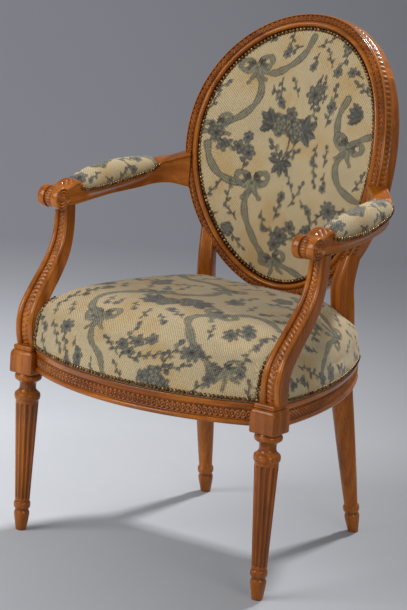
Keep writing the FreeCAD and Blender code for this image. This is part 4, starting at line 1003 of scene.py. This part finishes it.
def workSeat(work):
    # x across, y from front to back
    work.bow((-84, -236), 28, 0.1)
    work.many(work.ribbon, ([(-86, -240), (-84, -270), (-76, -296), (-52, -322), (-38, -352)],),
              ([(-90, -234), (-122, -212), (-132, -176), (-112, -140), (-76, -112)],))
    work.many(work.bow, ((-62, -104), 25, 0.4), ((100, -150), 29, -0.3))
    work.many(work.ribbon, ([(96, -154), (72, -190), (104, -232), (152, -262), (188, -290)],),
              ([(104, -148), (138, -120), (176, -112), (214, -124)],))
    work.many(work.bow, ((198, -268), 26, 0.9), ((236, 30), 26, -0.8))
    work.many(work.ribbon, ([(240, 24), (256, -14), (288, -46), (318, -60)],),
              ([(232, 34), (196, 46), (150, 40), (112, 62)],),
              ([(-60, -100), (-20, -86), (14, -56), (20, -16)],))
    work.bow((20, -6), 25, 0.2)
    work.ribbon([(16, 2), (-30, 24), (-90, 30), (-136, 62)])
    work.bow((-146, 70), 26, 0.6)
    work.many(work.rose, ((-16, -142), 19), ((20, -120), 20, 1.3))
    for angle, length in ((0.2, 28), (-0.5, 25), (0.9, 26)):
        work.leaf((34, -124), angle, length, 12)
    for angle, length in ((2.8, 28), (2.2, 25), (-2.7, 26), (-2.1, 22)):
        work.leaf((-28, -142), angle, length, 12, "blue")
    work.flower((-150, -262), 15, 8)
    work.many(work.sprig, ((-152, -276), -1.5, 40, 4, 11), ((-196, -240), -1.2, 66, 6, 11, "bud"),
              ((-120, -288), -1.45, 46, 4, 10, 9))
    work.many(work.flower, ((-112, -322), 11, 6, "slate"), ((-146, -330), 10, 6))
    work.sprig((-4, -318), 1.5, 74, 7, 11, "bud")
    work.many(work.flower, ((-6, -288), 11, 6), ((22, -272), 12, 6, "blue", 0.4), ((46, -262), 10, 6),
              ((14, -300), 10, 5, "slate"))
    work.many(work.sprig, ((20, -312), 0.4, 60, 6, 11, "bud"), ((-10, -312), 2.4, 44, 5, 10, "bud"))
    work.flower((126, -262), 17, 9, "blue")
    work.many(work.sprig, ((84, -318), 1.35, 64, 6, 12, "bud"), ((84, -318), 0.5, 52, 4, 11),
              ((138, -252), -0.4, 40, 4, 10))
    work.rose((76, -330), 15)
    work.many(work.flower, ((100, -338), 11, 6, "slate"), ((52, -336), 10, 5))
    work.many(work.sprig, ((60, -196), 2.6, 44, 5, 10, 8), ((150, -208), 1.1, 52, 6, 11, 9))
    work.many(work.flower, ((160, -196), 11, 6, "slate"), ((182, -172), 12, 6))
    work.many(work.sprig, ((206, -200), -1.3, 60, 5, 11, 8), ((-186, -170), 0.9, 58, 6, 11, 9),
              ((-200, -120), 1.2, 60, 6, 10, "bud"))
    work.flower((-176, -96), 13, 7, "slate")
    work.sprig((-160, -40), 0.5, 62, 6, 11, 9)
    work.rose((-104, -34), 15)
    work.sprig((-84, -30), 0.4, 44, 4, 10)
    work.flower((78, -66), 14, 7)
    work.many(work.sprig, ((60, -70), 1.2, 58, 6, 11, "bud"), ((110, -20), 0.3, 60, 6, 11, 9))
    work.rose((120, 18), 15)
    work.sprig((168, -60), 1.1, 56, 5, 11, 8)
    work.flower((190, -24), 12, 7, "slate")
    work.many(work.sprig, ((-40, 70), 0.6, 60, 6, 11, 8), ((60, 90), 0.2, 60, 6, 11, 9),
              ((-120, 120), 0.3, 60, 5, 11, 8), ((10, 130), 2.7, 60, 5, 11, "bud"),
              ((120, 120), 0.9, 50, 5, 11, 8), ((300, -110), 1.2, 60, 5, 11, 9),
              ((296, 10), 1.4, 66, 6, 11, 9))
    work.flower((310, -20), 12, 6)
    work.many(work.sprig, ((330, 60), 1.9, 60, 5, 11, 9), ((-300, -100), 1.2, 66, 5, 11, 9),
              ((-300, 10), 1.4, 66, 6, 11, 9))
    work.flower((-312, -30), 12, 6)
    work.many(work.sprig, ((-250, -40), 1.0, 60, 5, 11, 8), ((240, -60), 2.0, 60, 5, 11, 8),
              ((-230, 60), 0.7, 60, 5, 11, 8), ((-250, -214), -1.0, 50, 5, 11, 8),
              ((150, -330), 0.9, 44, 4, 10, 9))


def workPad(work):
    work.rose((0, 20), 17)
    work.flower((-8, 46), 13, 6, "slate")
    work.sprig((4, 62), 1.3, 46, 5, 11, 9)
    work.ribbon([(-30, 96), (-6, 112), (14, 136), (34, 150)])
    work.bow((-2, 118), 20, 0.7)
    work.sprig((-10, -2), -1.7, 40, 4, 11, 8)
    work.flower((12, -42), 12, 6)
    work.sprig((-12, -60), -1.4, 30, 3, 10, "bud")
    work.flower((2, 168), 12, 6, "slate")
    work.many(work.sprig, ((4, 180), 1.5, 36, 3, 10, 8), ((22, 74), 0.6, 24, 2, 9, 7),
              ((-24, 30), 2.4, 24, 3, 9))


# Padding: each cushion is a fine net over its form, swelled by a cloth simulation under pressure

swell = {"pressure": 4.0, "steps": 20, "stiffness": 18.0}


def squareNet(count):
    # a square net mapped to (ring 0..1 from the middle, share 0..1 round the edge)
    line = np.linspace(-1, 1, count)
    u, v = np.meshgrid(line, line)
    ring = np.maximum(np.abs(u), np.abs(v))
    safe = np.maximum(ring, 1e-9)
    a, b = u / safe, v / safe
    share = np.select([b <= -1 + 1e-9, a >= 1 - 1e-9, b >= 1 - 1e-9],
                      [(a + 1) / 8, 0.25 + (b + 1) / 8, 0.5 + (1 - a) / 8], 0.75 + (1 - b) / 8)
    return ring, share % 1.0


def inflate(points, cap, name):
    # how far each point of a net moves when it swells, its edge nailed, and none further than the cap
    index, faces = netFaces(*points.shape[:2])
    border = roundEdge(index).tolist()
    mesh = makeMesh(name, metres(points), faces + [border[::-1]], False)
    pad = addObject(name, mesh)
    pad.vertex_groups.new(name="nailed").add(border, 1.0, "REPLACE")
    cloth = pad.modifiers.new("swell", "CLOTH").settings
    cloth.use_pressure = True
    cloth.uniform_pressure_force = swell["pressure"]
    cloth.effector_weights.gravity = 0
    cloth.vertex_group_mass = "nailed"
    cloth.tension_stiffness = cloth.compression_stiffness = swell["stiffness"]
    scene = bpy.context.scene
    for step in range(1, swell["steps"] + 1):
        scene.frame_set(step)
    held = pad.evaluated_get(bpy.context.evaluated_depsgraph_get())
    after = np.empty(len(mesh.vertices) * 3)
    held.data.vertices.foreach_get("co", after)
    moved = after.reshape(points.shape) * 1000 - metres(points) * 1000
    bpy.data.objects.remove(pad)
    scene.frame_set(1)
    far = np.linalg.norm(moved, axis=-1, keepdims=True)
    return moved * np.minimum(1, cap / np.maximum(far, 1e-6))


def stretchNet(net, rows, columns):
    # the same net at another density
    r = np.linspace(0, net.shape[0] - 1, rows)
    c = np.linspace(0, net.shape[1] - 1, columns)
    r0, c0 = np.minimum(r.astype(int), net.shape[0] - 2), np.minimum(c.astype(int), net.shape[1] - 2)
    fr, fc = (r - r0)[:, None, None], (c - c0)[None, :, None]
    fr, fc = fr * fr * (3 - 2 * fr), fc * fc * (3 - 2 * fc)
    upper = net[r0][:, c0] * (1 - fc) + net[r0][:, c0 + 1] * fc
    lower = net[r0 + 1][:, c0] * (1 - fc) + net[r0 + 1][:, c0 + 1] * fc
    return upper * (1 - fr) + lower * fr


def makeCushion(name, net, flat, rim, work, nodes, under):
    # closes the net underneath, with rings or straight across, and works the pattern into it
    index, faces = netFaces(*net.shape[:2])
    border = ring = roundEdge(index)
    count = len(border)
    for k in range(len(under)):
        following = index.size + k * count + np.arange(count)
        faces += np.stack([ring, np.roll(ring, -1), np.roll(following, -1), following], -1).tolist()
        ring = following
    if under:
        faces.append(ring.tolist())
    else:
        faces += np.stack([index[:-1, 0], index[1:, 0], index[1:, -1], index[:-1, -1]], -1).tolist()
        faces += [index[0].tolist(), index[-1].tolist()]
    mesh = makeMesh(name, metres(np.concatenate([net.reshape(-1, 3), *under])), faces)
    flat = flat.reshape(-1, 2)
    needles = Needlework(np.concatenate([flat] + [flat[border]] * len(under)))
    work(needles)
    needles.fillIn()
    # the underside is all painted shade
    needles.keepTo(mesh, np.concatenate([rim.ravel(), np.ones(count * len(under))]))
    cushion = addPiece(name, mesh, tapestryCloth, nodes)
    return cushion


# Back cushion

backPad = {"fine": 300, "coarse": 64, "swelling": 5, "puckers": 178, "pucker": 0.5, "fill": 0.85}


def backNet(count):
    ring, share = squareNet(count)
    line = nailOval(share * 2 * math.pi - 3 * math.pi / 4, 2.2)
    spread = ring ** 0.96
    x, along = line[..., 0] * spread, line[..., 1] * spread
    crown = backLook["crown"] * (1 - spread ** 2.5) ** 0.82
    tuck = np.clip((ring - 0.975) / 0.025, 0, 1)
    return backPoint(x, along, 1.2 - crown + 2.0 * tuck), np.stack([x, along], -1), ring


fineBack, flatBack, ringBack = backNet(backPad["fine"])
backSwelling = inflate(backNet(backPad["coarse"])[0], backPad["swelling"], "backSwelling")
fineBack = fineBack + stretchNet(backSwelling, backPad["fine"], backPad["fine"])
turnsBack = np.arctan2(flatBack[..., 1], flatBack[..., 0])
fineBack[..., 1] += (backPad["pucker"] * np.cos(turnsBack * backPad["puckers"])
                     * np.exp(-((ringBack - 0.965) / 0.018) ** 2))
# painted shade along the nailed edge
edgeShadeBack = np.clip((ringBack - 0.972) / 0.02, 0, 1) * 0.75
# the underside follows the dish
underBack = [backPoint(*(roundEdge(flatBack) * share).T, 3.2) for share in (0.98, 0.75, 0.5, 0.25, 0.04)]
makeCushion("backCushion", fineBack, flatBack, edgeShadeBack, workBack, ["back_cover", "back_filling"],
            underBack)
print("back cushion made")


# Seat cushion

seatLevels = [
    # share of height, drawn in, scale, scale behind the crown
    (0, 0.4, 1, 1), (0.1, -0.2, 1, 1), (0.22, -1.2, 1, 1), (0.36, -1.5, 1, 1), (0.48, 0.8, 0.998, 0.985),
    (0.58, 3, 0.985, 0.95), (0.68, 3.4, 0.95, 0.87), (0.78, 3, 0.885, 0.77), (0.87, 3, 0.79, 0.67),
    (0.935, 3, 0.66, 0.55), (0.975, 3, 0.48, 0.4), (0.994, 3, 0.24, 0.2), (1, 3, 0.0, 0.0)]
seatLook = {"base": 335.2, "crown": 448, "crownY": -10, "halfWidth": 262, "sideHeight": 78,
            "fine": 306, "coarse": 72, "swelling": 6, "puckers": 240, "pucker": 0.5,
            "under": 14.5, "fill": 0.85}


def seatLine():
    # the nailed edge in plan, from the middle of the front round by the right side
    (cx, cy), radius = frontArc
    angles = np.linspace(0, math.asin(232 / radius), 30)
    front = np.column_stack([cx + radius * np.sin(angles), cy - radius * np.cos(angles)])
    (cx, cy), radius = sideArc
    angles = np.linspace(sideTurn(-178), sideTurn(176), 40)
    side = np.column_stack([cx + radius * np.cos(angles), cy + radius * np.sin(angles)])
    corner = smoothRows([front[-1], (252, -208), (264, -195), side[0]], 10)[1:-1]
    rear = smoothRows([side[-1], (172, 190), (166, 197), (158, 199)], 10)[1:]
    half = np.concatenate([front, corner, side, rear])
    line = np.concatenate([half, half[::-1][:-1] * (-1, 1)])
    return evenly(np.concatenate([line, line[:1]]), 1.5)


seatEdge = seatLine()
seatNormals = np.gradient(seatEdge, axis=0)
seatNormals = np.column_stack([seatNormals[:, 1], -seatNormals[:, 0]])
seatNormals /= np.linalg.norm(seatNormals, axis=1, keepdims=True)


def seatNet(count):
    look = seatLook
    ring, share = squareNet(count)
    place = (share - 0.125) % 1.0 * (len(seatEdge) - 1)
    low = np.minimum(place.astype(int), len(seatEdge) - 2)
    part = (place - low)[..., None]
    edge = seatEdge[low] * (1 - part) + seatEdge[low + 1] * part
    normal = seatNormals[low] * (1 - part) + seatNormals[low + 1] * part
    rise, drawn, sides, rear = smoothRows(seatLevels, 400).T
    height = look["base"] + (look["crown"] - look["base"]) * np.minimum(rise, 1)
    walked = lengthsAlong(np.column_stack([look["halfWidth"] * sides - drawn, height]))
    at = (1 - ring) * walked[-1]
    drawn, sides, rear, z = (np.interp(at, walked, column) for column in (drawn, sides, rear, height))
    plan = edge - normal * drawn[..., None]
    fromCrown = plan[..., 1] - look["crownY"]
    y = look["crownY"] + fromCrown * np.where(fromCrown > 0, rear, sides)
    plan = np.stack([plan[..., 0] * sides, y], -1)
    drop = np.clip((look["base"] + look["sideHeight"]) - z, 0, None)
    return np.concatenate([plan, z[..., None]], -1), plan + normal * drop[..., None] * 0.95, at


fineSeat, flatSeat, fromEdge = seatNet(seatLook["fine"])
seatSwelling = inflate(seatNet(seatLook["coarse"])[0], seatLook["swelling"], "seatSwelling")
seatSwelling = stretchNet(seatSwelling, seatLook["fine"], seatLook["fine"])
fineSeat = fineSeat + seatSwelling * np.clip((fromEdge - 6) / 30, 0, 1)[..., None]
turnsSeat = np.arctan2(flatSeat[..., 1], flatSeat[..., 0])
fineSeat[..., 2] += (seatLook["pucker"] * np.cos(turnsSeat * seatLook["puckers"])
                     * np.exp(-((fromEdge - 12) / 5) ** 2))
# painted shade along the nailed edge
edgeShadeSeat = np.clip(1.2 - fromEdge / 8.0, 0, 1) * 0.7
underSeat = roundEdge(fineSeat) * (0.97, 0.97, 1) + (0, 0, seatLook["under"])
seatCushion = makeCushion("seatCushion", fineSeat, flatSeat, edgeShadeSeat, workSeat,
                          ["seat_cover", "seat_filling"], [underSeat])
print("seat cushion made")


# Arm pads

padLook = {"fine": (190, 84), "coarse": (52, 26), "swelling": 2.0, "fill": 0.8}
padRun = [
    # x, y, seat of the pad, ridge, half width
    (266.6, -93.5, 601, 617, 17), (268, -78, 598.5, 624, 21.5), (269, -41, 598.5, 634, 23),
    (268, 0, 601.5, 640.5, 23.5), (263, 36, 606.5, 643, 23.5), (256, 75, 613.5, 644, 23),
    (248.5, 101, 620.5, 643, 21), (242.0, 114.5, 627, 639, 17.5)]


def padNet(rows, columns, side):
    run = smoothRows(padRun, 120)
    lengths = lengthsAlong(run[:, :2])
    # closer together at both ends
    share = (1 - np.cos(np.linspace(0, math.pi, rows))) / 2 * 0.35 + np.linspace(0, 1, rows) * 0.65
    at = share * lengths[-1]
    x, y, low, ridge, half = (np.interp(at, lengths, run[:, k]) for k in range(5))
    dx, dy = np.gradient(x), np.gradient(y)
    size = np.hypot(dx, dy)
    dx, dy = dx / size, dy / size
    ends = np.minimum(at, lengths[-1] - at) / 17.0
    rounding = np.sqrt(np.clip(1 - (1 - np.clip(ends, 0, 1)) ** 2, 0, 1))
    turns = np.linspace(0, math.pi, columns)
    across = np.sign(np.cos(turns)) * np.abs(np.cos(turns)) ** 0.82
    rise = np.sin(turns) ** 0.78
    wide = (half + 0.6) * (0.8 + 0.2 * rounding)
    bulge = 1.4 * np.sin(np.clip(rise, 0, 1) * math.pi) * np.sign(across)
    u = wide[:, None] * across[None, :] + bulge[None, :] * rounding[:, None]
    z = low[:, None] + (ridge - low)[:, None] * rise[None, :] * rounding[:, None]
    net = np.stack([side * (x[:, None] + dy[:, None] * u), y[:, None] - dx[:, None] * u, z], -1)
    along = np.broadcast_to(at[:, None] - 60, u.shape)
    flat = np.stack([u + np.sign(u) * (ridge[:, None] - z) * 0.8, along], -1)
    edge = np.minimum(np.minimum(turns, math.pi - turns)[None, :] * half[:, None], (rounding * 40)[:, None])
    return net, flat, edge


for side, word in ((1, "right"), (-1, "left")):
    finePad, flatPad, edgePad = padNet(*padLook["fine"], side)
    padSwelling = inflate(padNet(*padLook["coarse"], side)[0], padLook["swelling"], word + "PadSwelling")
    finePad = finePad + stretchNet(padSwelling, *padLook["fine"])
    if side < 0:
        flatPad = flatPad * (-1, 1) + (4, 6)
    # the pad's edge darkened as painted shade
    makeCushion("armPad" + word.title(), finePad, flatPad, np.clip(1.1 - edgePad / 6.0, 0, 1) * 0.7, workPad,
                ["arm_pad_cover_" + word, "arm_pad_filling_" + word], [])
print("arm pads made")


# Cloths and webbing behind and under the cushions

clothLook = {"thickness": 0.0012}


def makeCloth(name, net, finish, node):
    # an open net given a little thickness, nailed all round to the wood that it lies on
    index, faces = netFaces(*net.shape[:2])
    mesh = makeMesh(name, metres(net), faces, False)
    rows, columns = index.shape
    widths, heights = lengthsAlong(net[rows // 2]) / 1000, lengthsAlong(net[:, columns // 2]) / 1000
    place = np.broadcast_arrays(widths[None, :], heights[:, None], np.zeros((1, 1)))
    keepValues(mesh, "cloth", "FLOAT_VECTOR", np.stack(place, -1))
    piece = addPiece(name, mesh, finish, [node])
    solid = piece.modifiers.new("thickness", "SOLIDIFY")
    solid.thickness = clothLook["thickness"]
    solid.offset = 0


def ovalNet(count, grow, depth):
    ring, share = squareNet(count)
    line = nailOval(share * 2 * math.pi - 3 * math.pi / 4, grow)
    return backPoint(line[..., 0] * ring, line[..., 1] * ring, depth)


def seatClothNet(count, inset, height, sag):
    ring, share = squareNet(count)
    low = ((share - 0.125) % 1.0 * (len(seatEdge) - 1)).astype(int)
    edge = seatEdge[low] - seatNormals[low] * inset
    x, y = edge[..., 0] * ring, seatLook["crownY"] + (edge[..., 1] - seatLook["crownY"]) * ring
    return np.stack([x, y, height - sag * (1 - ring ** 2) ** 1.3], -1)


makeCloth("outsideBackCover", ovalNet(70, 0.5, 36.6), linen, "outside_back_cover")
makeCloth("backLiningCloth", ovalNet(60, -2, 2.3), linen, "back_lining_cloth")
makeCloth("underSeatCloth", seatClothNet(80, 10, 294.4, 1.6), underLinen, "under_seat_cloth")
makeCloth("seatBaseCloth", seatClothNet(60, 34, 352.6, 0.0), linen, "seat_base_cloth")

strapLook = {"width": 58, "apart": 76, "wave": 0.35, "halfThick": 0.5, "inset": 12}
strapAcross = np.linspace(-strapLook["width"] / 2, strapLook["width"] / 2, 12)


def strapNet(middle, lengthwise, level):
    # one strap across the seat frame, woven over and under the others
    inset = strapLook["inset"]
    if lengthwise:
        (cx, cy), radius = frontArc
        start, end = cy - math.sqrt(radius ** 2 - middle ** 2) + inset, 188
    else:
        (cx, cy), radius = sideArc
        end = cx + math.sqrt(radius ** 2 - (middle - cy) ** 2) - inset
        start = -end
    run = np.linspace(start, end, 90)
    wave = strapLook["wave"] * np.cos(run * math.pi / strapLook["apart"])
    a, b = np.meshgrid(strapAcross + middle, run)
    z = np.broadcast_to((level + wave)[:, None], a.shape)
    return np.stack([a, b, z] if lengthwise else [b, a, z], -1)


def makeStraps(name, nets, node, thick, clothAxes):
    shape = Shape()
    for net in nets:
        shape.grid(np.concatenate([net + thick, net[:, ::-1] - thick], axis=1))
    piece = makePiece(name, shape, webbingCloth, [node], "z", 60)
    place = np.concatenate(shape.points)[:, clothAxes] / 1000
    keepValues(piece.data, "cloth", "FLOAT_VECTOR", place)


def backStrap(middle):
    # as long as the oval is high there
    reach = 218 * math.sqrt(1 - (abs(middle) + strapLook["width"] / 2) ** 2 / 190 ** 2)
    return backPoint(*np.meshgrid(strapAcross + middle, np.linspace(-reach * 0.97, reach, 80)), 3.9)


upward, backward = (0, 0, strapLook["halfThick"]), (0, strapLook["halfThick"], 0)
apart = strapLook["apart"]
makeStraps("seatWebbingLengthwise", [strapNet(apart * i, True, 350.9) for i in range(-1, 2)],
           "seat_webbing_lengthwise", upward, (0, 1, 2))
makeStraps("seatWebbingCrosswise", [strapNet(apart * i, False, 352.0) for i in range(-2, 2)],
           "seat_webbing_crosswise", upward, (1, 0, 2))
makeStraps("backWebbing", [backStrap(apart * i) for i in range(-1, 2)], "back_webbing", backward, (0, 2, 1))
print("cloths and webbing made")


# Decorative nails

nailLook = {"radius": 3.55, "pitch": 7.3, "supportPitch": 6.9, "padEndPitch": 6.6}
nailRings = [
    # radius and rise of a nail that is 3.25 mm in radius
    (3.3, -0.9), (3.3, 0.3), (2.9, 1.3), (2.0, 2.2), (0.8, 2.65)]


def nailRow(points, normals):
    points, normals = np.array(points, float), np.array(normals, float)
    normals /= np.linalg.norm(normals, axis=1, keepdims=True)
    helper = np.where(np.abs(normals[:, 2:]) < 0.9, [[0, 0, 1.0]], [[1.0, 0, 0]])
    side = np.cross(normals, helper)
    side /= np.linalg.norm(side, axis=1, keepdims=True)
    other = np.cross(normals, side)
    turns = np.linspace(0, 2 * math.pi, 12, endpoint=False)
    scale = nailLook["radius"] / 3.25
    return [[[point + normal * rise * scale + (a * math.cos(t) + b * math.sin(t)) * r * scale for t in turns]
             for r, rise in nailRings] for point, normal, a, b in zip(points, normals, side, other)]


def ovalNails():
    line = nailOval(np.radians(np.linspace(0, 360, 3601)), -1.2)
    line = evenly(backPoint(line[:, 0], line[:, 1], -0.3), nailLook["pitch"])[:-1]
    return nailRow(line, -backNormal(line[:, 0]))


def surfaceOf(piece):
    tree = BVHTree.FromObject(piece, bpy.context.evaluated_depsgraph_get())

    def find(start, direction):
        place, normal, _, _ = tree.ray_cast(Vector(metres(start)), Vector(direction).normalized())
        if place is None:
            return None
        if normal.dot(Vector(direction)) > 0:
            normal = -normal
        return np.array(place) * 1000 + (0, middleShift, 0), np.array(normal)
    return find


def seatNails():
    # round the seat's edge, except where the arm supports and the rear posts stand
    spots, facing = [], []
    for x, y in evenly(seatEdge, nailLook["pitch"])[:-1]:
        if (abs(x) > 238 and y < -181) or (128 < abs(x) < 172 and y > 190):
            continue
        nearest = np.argmin(np.hypot(seatEdge[:, 0] - x, seatEdge[:, 1] - y))
        outward = np.array([*seatNormals[nearest], 0.0])
        spots.append(np.array([x, y, 340.2]) - outward * 0.2)
        facing.append(outward + (0, 0, 0.12))
    nails = nailRow(spots, facing)
    # up, over and down the cover that is cut round each arm support
    find = surfaceOf(seatCushion)
    spots, facing = [], []
    pitch = nailLook["supportPitch"]
    for side in (1, -1):
        looks = [((side * 235.6, -320, z), (0, 1, 0)) for z in np.arange(346, 396, pitch)]
        looks += [((side * 236.4, y, 520), (0, 0, -1)) for y in np.arange(-200, -164, pitch)]
        looks += [((side * 330, -176.5, z), (-side, 0, 0)) for z in np.arange(349, 372, nailLook["pitch"])]
        for start, direction in looks:
            hit = find(start, direction)
            if hit:
                spots.append(hit[0])
                facing.append(hit[1])
    return nails + nailRow(spots, facing)


def padNails():
    # along both sides of each pad and across its ends
    nails = []
    run = smoothRows(padRun, 120)
    dx, dy = np.gradient(run[:, 0]), np.gradient(run[:, 1])
    size = np.hypot(dx, dy)
    across = np.column_stack([dy / size, -dx / size])
    for side in (1, -1):
        for way in (1, -1):
            line = np.column_stack([run[:, :2] + across * way * (run[:, 4:5] + 1.3), run[:, 2] + 3.6])
            line = evenly(line[5:-5], nailLook["pitch"] * 0.93)
            facing = []
            for place in line:
                nearest = np.argmin(np.abs(run[:, 1] - place[1]))
                facing.append([across[nearest][0] * way * side, across[nearest][1] * way, 0.22])
            nails += nailRow(line * (side, 1, 1), facing)
        for end, lean, lift in ((0, -1, 1.2), (-1, 1, 2.2)):
            x, y, low, ridge, half = run[end]
            along = np.array([dx[end], dy[end]]) / size[end] * lean
            for u in np.arange(-half + 4.5, half - 3, nailLook["padEndPitch"]):
                place = np.array([x, y]) + across[end] * u + along * 0.2
                height = low + 3.0 + lift * (1 - (u / half) ** 2)
                nails += nailRow([[place[0] * side, place[1], height]], [[along[0] * side, along[1], 0.55]])
    return nails


nailShape = Shape()
for nail in ovalNails() + seatNails() + padNails():
    nailShape.grid(nail)
makePiece("decorativeNails", nailShape, bronze, (), "z", 75)
print("nails driven:", len(nailShape.points))


# Hidden wood keeps its drawn shape

def dressNode(nodeName, finish):
    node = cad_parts[nodeName]
    for place in node.material_slots:
        place.material = finish


dressNode("joint_pegs", waxedBeech("waxed pegs", False))
for corner, lean in (("front_left", 0.8), ("front_right", -0.8), ("rear_left", -0.8), ("rear_right", 0.8)):
    blockWood = rawBeech("raw beech corner block " + corner.replace("_", " "), (0, 1.57, lean))
    dressNode("corner_block_" + corner, blockWood)


# Studio: pale floor rising into a grey backdrop, a lamp behind and soft light in front

studio = {
    "floorLight": rgb(230, 235, 243), "floorShade": rgb(118, 118, 122), "wall": rgb(136, 138, 146),
    "wallShade": rgb(99, 100, 106), "mottle": rgb(120, 122, 130), "wide": 14, "turn": 35.13,
    "air": (0.88, 0.88, 0.9, 1), "airStrength": 0.27,
    # lamps: place, height it shines at, size, watts, colour
    "lamps": {"back lamp": ((0.12, 2.4, 3.25), 0.3, 0.42, 108, (1.0, 0.99, 0.97)),
              "front lamp": ((-1.6, -3.2, 2.6), 0.5, 2.2, 90, (1.0, 0.975, 0.94)),
              "fill lamp": ((3.2, -1.6, 1.5), 0.5, 1.6, 24, (1.0, 0.98, 0.95))}}


def makeBackdrop():
    # runs square to the camera's line of sight, and low enough to look over it from behind
    turn = math.radians(studio["turn"])
    forward = np.array([-math.sin(turn), math.cos(turn), 0])
    right = np.array([math.cos(turn), math.sin(turn), 0])
    profile = [(-7.5, 0.0), (1.2, 0.0), (1.9, 0.0)]
    profile += [(1.9 + 1.6 * math.sin(bend), 1.6 * (1 - math.cos(bend)))
                for bend in np.linspace(0.1, 1.08, 12)]
    places = np.linspace(-0.5, 0.5, 9) * studio["wide"]
    net = np.array([[forward * away + right * place + (0, 0, height - 0.0004) for place in places]
                    for away, height in profile])
    mesh = makeMesh("backdrop", net, netFaces(*net.shape[:2])[1], False)
    addObject("backdrop", mesh)
    paper = Finish("backdrop paper")
    where = paper.place(turn=(0, 0, -turn))
    split = paper.add("SeparateXYZ")
    paper.fill(split.inputs["Vector"], where)
    far = paper.grey(split.outputs["Y"], 0.7, 2.3)
    # painted shade: floor and backdrop darker towards the right, for light falling off that way
    side = paper.grey(split.outputs["X"], -0.75, 0.85)
    floorColour = paper.blend(side, studio["floorLight"], studio["floorShade"])
    colour = paper.blend(far, floorColour, paper.blend(side, studio["wall"], studio["wallShade"]))
    mottled = paper.noise(where, 2.2, 3)
    colour = paper.blend(paper.grey(mottled, 0.3, 0.7, 0, 0.05), colour, studio["mottle"])
    mesh.materials.append(paper.done(colour, 0.9, Specular_IOR_Level=0.1))


def makeLight():
    for name, (place, height, size, watts, colour) in studio["lamps"].items():
        lamp = bpy.data.lights.new(name, "AREA")
        lamp.energy, lamp.size, lamp.color = watts, size, colour
        holder = addObject(name, lamp)
        holder.location = place
        holder.rotation_euler = (Vector((0, 0, height)) - Vector(place)).to_track_quat("-Z", "Y").to_euler()
    world = bpy.data.worlds.new("studio air")
    world.use_nodes = True
    air = world.node_tree.nodes["Background"].inputs
    air["Color"].default_value, air["Strength"].default_value = studio["air"], studio["airStrength"]
    bpy.context.scene.world = world
    bpy.context.scene.view_settings.view_transform = "Standard"


cameraLook = {"azimuth": 35.1295, "elevation": 12.7733, "roll": 3.693, "distance": 4.2179, "lens": 151.45,
              "target": (0.1276, -0.2349, 0.4833)}


def makeCamera():
    look = cameraLook
    a, e, roll = (math.radians(look[key]) for key in ("azimuth", "elevation", "roll"))
    back = Vector((math.sin(a) * math.cos(e), -math.cos(a) * math.cos(e), math.sin(e)))
    right = (-back).cross(Vector((0, 0, 1))).normalized()
    up = right.cross(-back)
    across = right * math.cos(roll) + up * math.sin(roll)
    upward = -right * math.sin(roll) + up * math.cos(roll)
    place = Vector(look["target"]) + look["distance"] * back
    data = bpy.data.cameras.new("camera")
    data.lens, data.sensor_width, data.sensor_fit = look["lens"], 36, "AUTO"
    camera = addObject("camera", data)
    camera.matrix_world = Matrix((
        (across.x, upward.x, back.x, place.x), (across.y, upward.y, back.y, place.y),
        (across.z, upward.z, back.z, place.z), (0, 0, 0, 1)))
    bpy.context.scene.camera = camera


makeBackdrop()
makeLight()
makeCamera()
print("scene ready")
